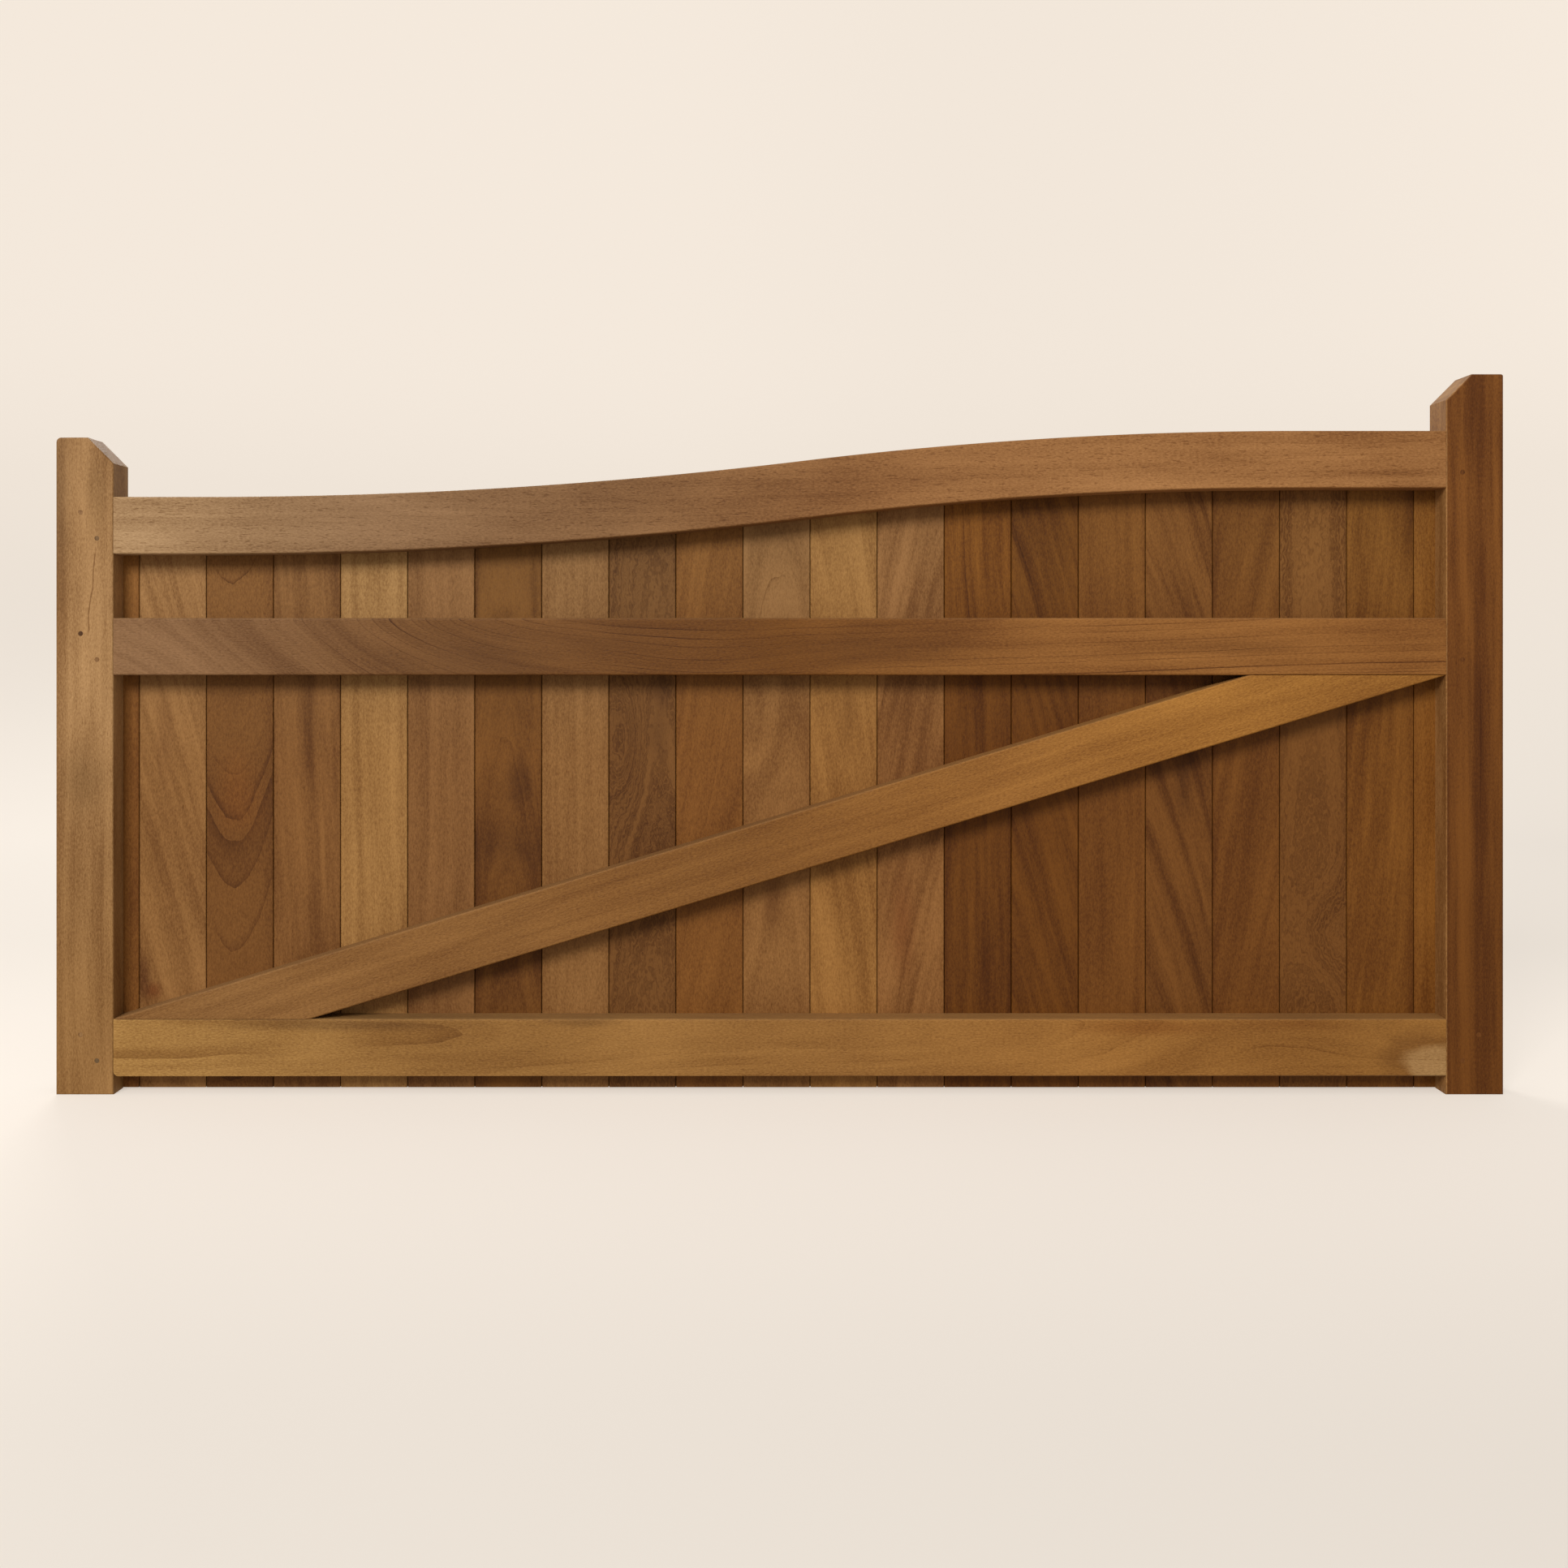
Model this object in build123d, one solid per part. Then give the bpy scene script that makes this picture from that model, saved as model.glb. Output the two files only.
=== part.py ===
"""Framed, ledged and braced hardwood gate leaf with a swept top rail.

Two stiles and three rails are joined with through tenons, wedged from the stile's outer edge and pegged
through its face. Tongued and grooved boards fill the frame. They run in a groove in the stiles and the top
rail, and are nailed from the outer side to the middle rail, the bottom rail and the diagonal brace.

The frame: X runs along the leaf, +Y is the boarded outer side, -Y is the side that shows the rails, Z is up.
The origin is at the middle of the leaf's width and depth, level with the feet of the stiles.
"""

import os
from math import asin, atan, atan2, cos, degrees, hypot, sin

from build123d import *

# Driving dimensions, in millimetres.
LEAF_WIDTH = 2400
FACE_WIDTH = 95  # of every stile, rail and brace
FRAME_DEPTH = 70  # of the stiles and the top rail
LEDGE_DEPTH = 45  # of the middle rail, the bottom rail and the brace
HANGING_HEIGHT = 1090
CLOSING_HEIGHT = 1195
HEAD_BEVEL = 43  # each way, at 45 degrees, on the inner top corner of a stile

TOP_RAIL_LOW = 991.5  # top edge at the hanging stile
SWEEP_RISE = 109.5
SWEEP_START = -956
SWEEP_END = 858
HOLLOW_SHARE = 0.55  # of the sum of the two sweep radii, held by the hollow curve
MIDDLE_RAIL_TOP = 790.5
BOTTOM_RAIL_TOP = 125.5

BOARD_PITCH = 113
FULL_BOARDS = 19
FIRST_SEAM = -1078
BOARD_THICKNESS = 20
BOARD_GAP = 1.2
BOARD_BOTTOM = 1
TONGUE_LENGTH = 6.5
TONGUE_THICKNESS = 7
TONGUE_END_SLACK = 1
SEAM_V = 4  # 45 degree vee on the outer side
SEAM_ARRIS = 0.7  # on the rail side

PANEL_GROOVE_DEPTH = 12
PANEL_GROOVE_WIDTH = 10
PANEL_END_SLACK = 1

TENON_THICKNESS = 22
TENON_FRONT = 13  # from the rail's face to the tenon
TENON_SHOULDER = 10  # above and below the tenon
WEDGE_LENGTH = 60
WEDGE_THICKNESS = 6
PEG_RADIUS = 4
PEG_FROM_EDGE = 26  # from the rail's top or bottom edge
PEG_FROM_SHOULDER = (27, 54)  # the lower peg, the upper peg

NAIL_RADIUS = 1.4
NAIL_LENGTH = 50
NAIL_HEAD_RADIUS = 3
NAIL_HEAD_THICKNESS = 1.2
NAIL_SPREAD = 28  # each side of a board's middle

STILE_ROUND = 3
RAIL_ROUND = 3
WORN_CORNER = 8  # outer top corner of the hanging stile
CLEAN_CORNER = 2  # outer top corner of the closing stile
RELIEVED_CORNER = 9  # lower corner of the bottom rail at the hanging stile

# Places that follow from them.
HALF_WIDTH = LEAF_WIDTH / 2
OPENING_HALF = HALF_WIDTH - FACE_WIDTH
FRONT = -FRAME_DEPTH / 2
BACK = FRAME_DEPTH / 2
BOARD_FRONT = FRONT + LEDGE_DEPTH
BOARD_BACK = BOARD_FRONT + BOARD_THICKNESS
GROOVE_BACK = BOARD_FRONT + PANEL_GROOVE_WIDTH
TENON_Y = (FRONT + TENON_FRONT, FRONT + TENON_FRONT + TENON_THICKNESS)
TOP_RAIL_HIGH = TOP_RAIL_LOW + SWEEP_RISE
MIDDLE_RAIL_BOTTOM = MIDDLE_RAIL_TOP - FACE_WIDTH
BOTTOM_RAIL_BOTTOM = BOTTOM_RAIL_TOP - FACE_WIDTH

# The sweep is a hollow arc and then a round arc, which meet where both lean by SWEEP_TURN.
SWEEP_TURN = 2 * atan(SWEEP_RISE / (SWEEP_END - SWEEP_START))
RADIUS_SUM = (SWEEP_END - SWEEP_START) / sin(SWEEP_TURN)
HOLLOW_RADIUS = HOLLOW_SHARE * RADIUS_SUM
ROUND_RADIUS = RADIUS_SUM - HOLLOW_RADIUS

# The brace lies corner to corner, with its top edge through the lower corner at the hanging stile
# and its bottom edge through the upper corner at the closing stile.
BRACE_RUN = 2 * OPENING_HALF
BRACE_RISE = MIDDLE_RAIL_BOTTOM - BOTTOM_RAIL_TOP
BRACE_LEAN = atan2(BRACE_RISE, BRACE_RUN) + asin(FACE_WIDTH / hypot(BRACE_RUN, BRACE_RISE))


def block(x, y, z):
    """A box between the two values given for each axis."""
    corner = Pos(min(x), min(y), min(z))
    return corner * Box(abs(x[1] - x[0]), abs(y[1] - y[0]), abs(z[1] - z[0]), align=(Align.MIN,) * 3)


def slab(outline, y):
    """A flat outline drawn in X and Z, made as thick as the two values of Y."""
    return extrude(Plane.XZ.offset(-y[1]) * outline, y[1] - y[0])


def rounded(solid, radius, *depths):
    """The solid with the edges that lie flat at each given Y rounded over."""

    def lies_at(edge, depth):
        box = edge.bounding_box()
        return abs(box.min.Y - depth) < 1e-3 and abs(box.max.Y - depth) < 1e-3

    edges = [e for e in solid.edges() if any(lies_at(e, depth) for depth in depths)]
    return fillet(edges, radius)


def swept_line(drop, left, right):
    """The edges of the sweep, at a distance below the rail's top edge, from left to right."""
    hollow, crown = HOLLOW_RADIUS + drop, ROUND_RADIUS - drop
    hollow_centre = (SWEEP_START, TOP_RAIL_LOW + HOLLOW_RADIUS)
    crown_centre = (SWEEP_END, TOP_RAIL_HIGH - ROUND_RADIUS)

    def on_hollow(angle):
        return hollow_centre[0] + hollow * sin(angle), hollow_centre[1] - hollow * cos(angle)

    def on_crown(angle):
        return crown_centre[0] - crown * sin(angle), crown_centre[1] + crown * cos(angle)

    return [
        Line((left, TOP_RAIL_LOW - drop), on_hollow(0)),
        ThreePointArc(on_hollow(0), on_hollow(SWEEP_TURN / 2), on_hollow(SWEEP_TURN)),
        ThreePointArc(on_crown(SWEEP_TURN), on_crown(SWEEP_TURN / 2), on_crown(0)),
        Line(on_crown(0), (right, TOP_RAIL_HIGH - drop)),
    ]


def swept_band(top_drop, bottom_drop, left, right):
    """The flat outline between two lines of the sweep."""
    edges = [
        *swept_line(top_drop, left, right),
        *swept_line(bottom_drop, left, right),
        Line((left, TOP_RAIL_LOW - top_drop), (left, TOP_RAIL_LOW - bottom_drop)),
        Line((right, TOP_RAIL_HIGH - top_drop), (right, TOP_RAIL_HIGH - bottom_drop)),
    ]
    return make_face(edges)


def below_sweep(drop, floor):
    """The flat outline under a line of the sweep, past both ends of the leaf's width."""
    left, right = -HALF_WIDTH, HALF_WIDTH
    edges = [
        *swept_line(drop, left, right),
        Polyline((left, TOP_RAIL_LOW - drop), (left, floor), (right, floor), (right, TOP_RAIL_HIGH - drop)),
    ]
    return make_face(edges)


# Each rail's top edge where it meets the hanging stile and the closing stile.
RAIL_TOPS = {
    "top": (TOP_RAIL_LOW, TOP_RAIL_HIGH),
    "middle": (MIDDLE_RAIL_TOP, MIDDLE_RAIL_TOP),
    "bottom": (BOTTOM_RAIL_TOP, BOTTOM_RAIL_TOP),
}
SIDES = (-1, 1)  # the hanging stile, the closing stile


def tenon(rail_top, side):
    z = (rail_top - FACE_WIDTH + TENON_SHOULDER, rail_top - TENON_SHOULDER)
    return block((side * OPENING_HALF, side * HALF_WIDTH), TENON_Y, z)


def tenons(rail):
    return [tenon(top, side) for top, side in zip(RAIL_TOPS[rail], SIDES)]


def wedges(rail_top, side):
    """The two wedges of one joint, driven in from the outer edge above and below the tenon."""
    outer, inner = side * HALF_WIDTH, side * (HALF_WIDTH - WEDGE_LENGTH)
    made = []
    for edge, away in ((rail_top - TENON_SHOULDER, 1), (rail_top - FACE_WIDTH + TENON_SHOULDER, -1)):
        corners = [(inner, edge), (outer, edge), (outer, edge + away * WEDGE_THICKNESS)]
        made.append(slab(make_face(Polyline(*corners, close=True)), TENON_Y))
    return made


def pegs(rail_top, side):
    """The two pegs of one joint: one low and near the shoulder, one high and further out."""
    low, high = PEG_FROM_SHOULDER
    places = [(low, rail_top - FACE_WIDTH + PEG_FROM_EDGE), (high, rail_top - PEG_FROM_EDGE)]
    lying = Rot(90, 0, 0) * Cylinder(PEG_RADIUS, FRAME_DEPTH)
    return [Pos(side * (OPENING_HALF + out), 0, z) * lying for out, z in places]


ALL_PEGS = [p for tops in RAIL_TOPS.values() for top, side in zip(tops, SIDES) for p in pegs(top, side)]
ALL_WEDGES = [w for tops in RAIL_TOPS.values() for top, side in zip(tops, SIDES) for w in wedges(top, side)]


def stile(side, height, outer_corner):
    """A stile with its bevelled head, panel groove, mortises and peg holes."""
    inner, outer = side * OPENING_HALF, side * HALF_WIDTH
    bevel_top = inner + side * HEAD_BEVEL
    corners = [(inner, 0), (outer, 0), (outer, height), (bevel_top, height), (inner, height - HEAD_BEVEL)]
    post = slab(make_face(Polyline(*corners, close=True)), (FRONT, BACK))
    top_corner = post.edges().filter_by(Axis.Y).sort_by_distance((outer, 0, height))[0]
    post = fillet(top_corner, outer_corner)
    post = rounded(post, STILE_ROUND, FRONT, BACK)

    rail_top = RAIL_TOPS["top"][SIDES.index(side)]
    groove_top = rail_top - FACE_WIDTH + PANEL_GROOVE_DEPTH
    post -= block((inner, inner + side * PANEL_GROOVE_DEPTH), (BOARD_FRONT, GROOVE_BACK), (0, groove_top))
    for tops in RAIL_TOPS.values():
        top = tops[SIDES.index(side)]
        post -= [tenon(top, side), *wedges(top, side)]
        post -= pegs(top, side)
    return post


def top_rail():
    """The swept rail, as deep as the stiles, grooved underneath for the boards."""
    rail = slab(swept_band(0, FACE_WIDTH, -OPENING_HALF, OPENING_HALF), (FRONT, BACK))
    long_edges = [e for e in rail.edges() if e.length > FACE_WIDTH + 1]
    rail = fillet(long_edges, RAIL_ROUND)
    groove = swept_band(FACE_WIDTH - PANEL_GROOVE_DEPTH, FACE_WIDTH, -OPENING_HALF, OPENING_HALF)
    rail -= slab(groove, (BOARD_FRONT, GROOVE_BACK))
    rail += tenons("top")
    return rail - ALL_PEGS


def plank(length):
    """A brace or ledge blank, centred on the origin, with its two long front edges rounded over."""
    blank = Box(length, LEDGE_DEPTH, FACE_WIDTH)
    front_edges = blank.edges().filter_by(Axis.X).group_by(Axis.Y)[0]
    return fillet(front_edges, RAIL_ROUND)


LEDGE_MIDDLE = FRONT + LEDGE_DEPTH / 2


def ledge(rail, nails):
    """The middle or the bottom rail, thinner than the stiles because the boards pass behind it."""
    top = RAIL_TOPS[rail][0]
    body = Pos(0, LEDGE_MIDDLE, top - FACE_WIDTH / 2) * plank(2 * OPENING_HALF)
    if rail == "bottom":
        lower_corner = (-OPENING_HALF, LEDGE_MIDDLE, top - FACE_WIDTH)
        end_edges = body.edges().filter_by(Axis.Y)
        body = fillet(end_edges.sort_by_distance(lower_corner)[0], RELIEVED_CORNER)
    body += tenons(rail)
    return body - ALL_PEGS - nails


def brace(nails):
    """The diagonal brace, cut to the opening between the middle and bottom rails."""
    half = FACE_WIDTH / 2
    foot = (-OPENING_HALF + half * sin(BRACE_LEAN), BOTTOM_RAIL_TOP - half * cos(BRACE_LEAN))
    length = hypot(BRACE_RUN, BRACE_RISE) + 4 * FACE_WIDTH
    blank = Pos(foot[0], LEDGE_MIDDLE, foot[1]) * Rot(0, -degrees(BRACE_LEAN), 0) * plank(2 * length)
    opening = block((-OPENING_HALF, OPENING_HALF), (FRONT, BOARD_FRONT), (BOTTOM_RAIL_TOP, MIDDLE_RAIL_BOTTOM))
    return (blank & opening) - nails


def brace_middle(x):
    """The height of the brace's centre line at a place along the leaf."""
    start_x = -OPENING_HALF + FACE_WIDTH / 2 * sin(BRACE_LEAN)
    start_z = BOTTOM_RAIL_TOP - FACE_WIDTH / 2 * cos(BRACE_LEAN)
    return start_z + (x - start_x) * sin(BRACE_LEAN) / cos(BRACE_LEAN)


def nail(x, z):
    """A ring nail driven from the outer side, its head level with the board."""
    shank = Pos(x, BOARD_BACK - NAIL_LENGTH / 2, z) * Rot(90, 0, 0) * Cylinder(NAIL_RADIUS, NAIL_LENGTH)
    head_y = BOARD_BACK - NAIL_HEAD_THICKNESS / 2
    return shank + Pos(x, head_y, z) * Rot(90, 0, 0) * Cylinder(NAIL_HEAD_RADIUS, NAIL_HEAD_THICKNESS)


def seam(number):
    """The place of a seam, where 0 is the one beside the hanging stile's cut board."""
    return FIRST_SEAM + number * BOARD_PITCH


def nail_columns():
    """Where the nails stand along the leaf: two in each full board and one in each cut board."""
    middles = [seam(n) + BOARD_PITCH / 2 for n in range(FULL_BOARDS)]
    pairs = [m + step for m in middles for step in (-NAIL_SPREAD, NAIL_SPREAD)]
    first, last = (-OPENING_HALF + seam(0)) / 2, (OPENING_HALF + seam(FULL_BOARDS)) / 2
    return [first, *pairs, last]


def nail_rows():
    """The nails of each member that the boards are fixed to, by node."""
    reach = NAIL_HEAD_RADIUS + RAIL_ROUND
    low, high = BOTTOM_RAIL_TOP + reach, MIDDLE_RAIL_BOTTOM - reach
    columns = nail_columns()
    on_brace = [x for x in columns if low < brace_middle(x) < high]
    return {
        "nails_middle_rail": [nail(x, MIDDLE_RAIL_TOP - FACE_WIDTH / 2) for x in columns],
        "nails_bottom_rail": [nail(x, BOTTOM_RAIL_TOP - FACE_WIDTH / 2) for x in columns],
        "nails_brace": [nail(x, brace_middle(x)) for x in on_brace],
    }


def board_section(left, right):
    """A board's section in X and Y, between two seams. None stands for the edge in a stile's groove."""
    middle = BOARD_FRONT + BOARD_THICKNESS / 2
    low, high = middle - TONGUE_THICKNESS / 2, middle + TONGUE_THICKNESS / 2
    if left is None:
        housed = -OPENING_HALF - PANEL_GROOVE_DEPTH + PANEL_END_SLACK
        left_side = [
            (-OPENING_HALF, BOARD_BACK),
            (-OPENING_HALF, GROOVE_BACK),
            (housed, GROOVE_BACK),
            (housed, BOARD_FRONT),
        ]
    else:
        x = left + BOARD_GAP / 2
        left_side = [
            (x + SEAM_V, BOARD_BACK),
            (x, BOARD_BACK - SEAM_V),
            (x, high),
            (x - TONGUE_LENGTH, high),
            (x - TONGUE_LENGTH, low),
            (x, low),
            (x, BOARD_FRONT + SEAM_ARRIS),
            (x + SEAM_ARRIS, BOARD_FRONT),
        ]
    if right is None:
        housed = OPENING_HALF + PANEL_GROOVE_DEPTH - PANEL_END_SLACK
        right_side = [
            (housed, BOARD_FRONT),
            (housed, GROOVE_BACK),
            (OPENING_HALF, GROOVE_BACK),
            (OPENING_HALF, BOARD_BACK),
        ]
    else:
        x = right - BOARD_GAP / 2
        slot = x - TONGUE_LENGTH + BOARD_GAP - TONGUE_END_SLACK
        right_side = [
            (x - SEAM_ARRIS, BOARD_FRONT),
            (x, BOARD_FRONT + SEAM_ARRIS),
            (x, low),
            (slot, low),
            (slot, high),
            (x, high),
            (x, BOARD_BACK - SEAM_V),
            (x - SEAM_V, BOARD_BACK),
        ]
    return make_face(Polyline(*left_side, *right_side, close=True))


def boards(nails):
    """All the boards by node, each cut to the sweep, with its head let into the top rail."""
    shown = slab(below_sweep(FACE_WIDTH, BOARD_BOTTOM), (BOARD_FRONT, BOARD_BACK))
    head_drop = FACE_WIDTH - PANEL_GROOVE_DEPTH + PANEL_END_SLACK
    housed = slab(below_sweep(head_drop, BOARD_BOTTOM), (BOARD_FRONT, GROOVE_BACK))
    panel = shown + housed
    seams = [None, *(seam(n) for n in range(FULL_BOARDS + 1)), None]
    made = {}
    for number, (left, right) in enumerate(zip(seams, seams[1:]), start=1):
        length = Pos(0, 0, BOARD_BOTTOM) * extrude(board_section(left, right), CLOSING_HEIGHT)
        box = length.bounding_box()
        own_nails = [n for n in nails if box.min.X < n.center().X < box.max.X]
        made[f"board_{number:02d}"] = (length & panel) - own_nails
    return made


def main():
    nails = nail_rows()
    all_nails = [n for row in nails.values() for n in row]
    nodes = {
        "hanging_stile": stile(-1, HANGING_HEIGHT, WORN_CORNER),
        "closing_stile": stile(1, CLOSING_HEIGHT, CLEAN_CORNER),
        "top_rail": top_rail(),
        "middle_rail": ledge("middle", nails["nails_middle_rail"]),
        "bottom_rail": ledge("bottom", nails["nails_bottom_rail"]),
        "brace": brace(nails["nails_brace"]),
        **boards(all_nails),
        "tenon_pegs": Compound(children=ALL_PEGS),
        "tenon_wedges": Compound(children=ALL_WEDGES),
        **{name: Compound(children=row) for name, row in nails.items()},
    }
    os.makedirs("parts", exist_ok=True)
    for name, shape in nodes.items():
        export_step(shape, f"parts/{name}.step")
    print(f"sweep radii: hollow {HOLLOW_RADIUS:.0f} mm, round {ROUND_RADIUS:.0f} mm")
    print(f"brace leans {degrees(BRACE_LEAN):.2f} degrees")


main()
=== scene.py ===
"""A framed, ledged and braced hardwood gate leaf, finished around its CAD frame."""

from math import asin, atan, atan2, cos, hypot, pi, radians, sin

import bmesh
import bpy
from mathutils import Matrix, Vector


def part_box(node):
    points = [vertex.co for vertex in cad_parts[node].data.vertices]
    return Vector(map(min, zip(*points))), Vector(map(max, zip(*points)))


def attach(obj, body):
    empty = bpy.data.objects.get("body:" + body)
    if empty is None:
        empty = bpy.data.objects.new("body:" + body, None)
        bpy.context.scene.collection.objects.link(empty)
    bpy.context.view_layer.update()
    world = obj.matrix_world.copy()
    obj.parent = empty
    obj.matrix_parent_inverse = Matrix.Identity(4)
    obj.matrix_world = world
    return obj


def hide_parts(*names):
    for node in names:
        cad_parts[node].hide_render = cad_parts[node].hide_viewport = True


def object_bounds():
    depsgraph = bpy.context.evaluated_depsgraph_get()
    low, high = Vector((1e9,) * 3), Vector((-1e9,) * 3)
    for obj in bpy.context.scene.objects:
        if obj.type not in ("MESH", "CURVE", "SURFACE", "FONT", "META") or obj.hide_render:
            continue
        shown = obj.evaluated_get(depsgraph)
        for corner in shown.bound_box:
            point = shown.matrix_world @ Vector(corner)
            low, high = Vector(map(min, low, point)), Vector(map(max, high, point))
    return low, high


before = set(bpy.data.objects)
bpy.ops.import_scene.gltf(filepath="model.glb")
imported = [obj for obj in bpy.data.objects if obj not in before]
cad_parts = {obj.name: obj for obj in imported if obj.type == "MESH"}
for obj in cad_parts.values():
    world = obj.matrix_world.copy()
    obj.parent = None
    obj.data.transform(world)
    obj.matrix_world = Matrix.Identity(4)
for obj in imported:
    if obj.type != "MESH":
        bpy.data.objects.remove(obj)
cad_low, cad_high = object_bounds()


# ---- Hanging stile -------------------------------------------------------------------------------------
# The shorter post, which carries the hinges: a 95 by 70 mm length of pale iroko, planed and oiled.
# Its arrises are eased by hand, the inner corner of its head is sawn off at 45 degrees, and it is
# mortised through for three rails, grooved for the boards, and bored for the pegs.

FACE = 0.095
HEAD_BEVEL = 0.043
STILE_ARRIS = 0.003
WORN_CORNER = 0.008
GROOVE_DEPTH = 0.012
GROOVE_WIDTH = 0.010
TENON_FRONT = 0.013
TENON_THICKNESS = 0.022
TENON_SHOULDER = 0.010
WEDGE_LENGTH = 0.060
WEDGE_THICKNESS = 0.006
PEG_RADIUS = 0.004
PEG_SIDES = 32
PEG_FROM_EDGE = 0.026
LOW_PEG_OUT = 0.027
HIGH_PEG_OUT = 0.054
OVERRUN = 0.002

frame_front, frame_back = cad_low.y, cad_high.y
tenon_y = (frame_front + TENON_FRONT, frame_front + TENON_FRONT + TENON_THICKNESS)
board_front, board_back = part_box("board_05")[0].y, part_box("board_05")[1].y
groove_back = board_front + GROOVE_WIDTH
opening_half = cad_high.x - FACE


def clear_bench():
    """Puts down whatever was being worked on."""
    if bpy.context.object and bpy.context.object.mode == "EDIT":
        bpy.ops.object.mode_set(mode="OBJECT")
    bpy.ops.object.select_all(action="DESELECT")


def blank(name, low, high):
    """A squared-up length of timber between two corners, open in edit mode with nothing picked."""
    clear_bench()
    low, high = [[end(pair) for pair in zip(low, high)] for end in (min, max)]
    middle = (Vector(low) + Vector(high)) / 2
    bpy.ops.mesh.primitive_cube_add(size=1, location=middle, scale=Vector(high) - Vector(low))
    piece = bpy.context.object
    piece.name = piece.data.name = name
    bpy.ops.object.transform_apply(location=True, rotation=True, scale=True)
    bpy.ops.object.mode_set(mode="EDIT")
    bpy.ops.mesh.select_all(action="DESELECT")
    return piece


def pick(piece, kind, wanted):
    """Picks only those faces or edges of a piece that pass a test."""
    bpy.ops.mesh.select_mode(type={"faces": "FACE", "edges": "EDGE", "verts": "VERT"}[kind])
    bpy.ops.mesh.select_all(action="DESELECT")
    shape = bmesh.from_edit_mesh(piece.data)
    for part in getattr(shape, kind):
        part.select_set(wanted(part))
    shape.select_flush_mode()
    bmesh.update_edit_mesh(piece.data)


def saw(point, waste):
    """Saws the whole piece through a point, and drops what is on the side that waste points to."""
    bpy.ops.mesh.select_all(action="SELECT")
    bpy.ops.mesh.bisect(plane_co=point, plane_no=waste, clear_outer=True, use_fill=True)


def scribe(point, facing):
    """Marks a line across the picked faces without cutting anything off."""
    bpy.ops.mesh.bisect(plane_co=point, plane_no=facing)


def draw_out(x=0, y=0, z=0):
    """Extends the picked faces or edges by that much."""
    bpy.ops.mesh.extrude_region_move(TRANSFORM_OT_translate={"value": (x, y, z)})


def ease(width, segments=3):
    """Rounds over the picked edges."""
    bpy.ops.mesh.bevel(offset=width, offset_type="OFFSET", segments=segments, profile=0.5, affect="EDGES")


def cut(piece, *cutters):
    """Takes the shape of each cutter out of a piece, and throws the cutter away."""
    bpy.ops.object.mode_set(mode="OBJECT")
    for cutter in cutters:
        bpy.context.view_layer.objects.active = piece
        clear = piece.modifiers.new("cut", "BOOLEAN")
        clear.operation, clear.solver, clear.object = "DIFFERENCE", "EXACT", cutter
        bpy.ops.object.modifier_apply(modifier=clear.name)
        bpy.data.objects.remove(cutter)


def lies_flat_at(edge, y):
    return all(abs(point.co.y - y) < 1e-5 for point in edge.verts)


def rail_feet(side):
    """The lower edge of each rail where it meets the stile on that side, -1 or 1."""
    low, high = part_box("top_rail")
    top = low.z if side < 0 else high.z - FACE
    return [top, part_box("middle_rail")[0].z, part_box("bottom_rail")[0].z]


def mortise(foot, side):
    """The hole for one tenon, flared towards the stile's outer edge for the two wedges."""
    shoulder, outer = side * (opening_half - OVERRUN), side * (cad_high.x + OVERRUN)
    wedge_point = side * (cad_high.x - WEDGE_LENGTH)
    low, high = foot + TENON_SHOULDER, foot + FACE - TENON_SHOULDER
    hole = blank("mortise", (shoulder, tenon_y[0], low), (outer, tenon_y[1], high))
    bpy.ops.mesh.select_all(action="SELECT")
    scribe((wedge_point, 0, 0), (1, 0, 0))
    flare = WEDGE_THICKNESS * (WEDGE_LENGTH + OVERRUN) / WEDGE_LENGTH
    for edge, rise in ((low, -flare), (high, flare)):
        pick(hole, "verts", lambda v: abs(v.co.x - outer) < 1e-5 and abs(v.co.z - edge) < 1e-5)
        bpy.ops.transform.translate(value=(0, 0, rise))
    bpy.ops.object.mode_set(mode="OBJECT")
    return hole


def peg_places(side):
    """Where the pegs of one stile stand, across and up: a low and a high one for each rail."""
    places = []
    for foot in rail_feet(side):
        places.append((side * (opening_half + LOW_PEG_OUT), foot + PEG_FROM_EDGE))
        places.append((side * (opening_half + HIGH_PEG_OUT), foot + FACE - PEG_FROM_EDGE))
    return places


def rod(x, y, z, radius, length, sides):
    """A round rod lying along the leaf's depth, at that place."""
    clear_bench()
    bpy.ops.mesh.primitive_cylinder_add(
        vertices=sides, radius=radius, depth=length, location=(x, y, z), rotation=(pi / 2, 0, 0)
    )
    bpy.ops.object.transform_apply(location=True, rotation=True, scale=True)
    return bpy.context.object


def peg_hole(x, z):
    return rod(x, 0, z, PEG_RADIUS, frame_back - frame_front + 2 * OVERRUN, PEG_SIDES)


def make_stile(name, side, corner):
    """A stile shaped, grooved, mortised and bored."""
    low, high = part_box(name)
    inner, outer = side * opening_half, side * cad_high.x
    stile = blank(name + "_timber", low, high)
    saw((inner, 0, high.z - HEAD_BEVEL), (-side, 0, 1))
    pick(stile, "edges", lambda e: all(abs(v.co.x - outer) + high.z - v.co.z < 1e-4 for v in e.verts))
    ease(corner, 4)
    pick(stile, "edges", lambda e: lies_flat_at(e, frame_front) or lies_flat_at(e, frame_back))
    ease(STILE_ARRIS)
    bpy.ops.object.mode_set(mode="OBJECT")
    feet = rail_feet(side)
    groove = blank(
        "groove",
        (inner - side * OVERRUN, board_front, low.z - OVERRUN),
        (inner + side * GROOVE_DEPTH, groove_back, feet[0] + GROOVE_DEPTH),
    )
    cut(stile, groove, *[mortise(foot, side) for foot in feet])
    cut(stile, *[peg_hole(x, z) for x, z in peg_places(side)])
    return stile


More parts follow.
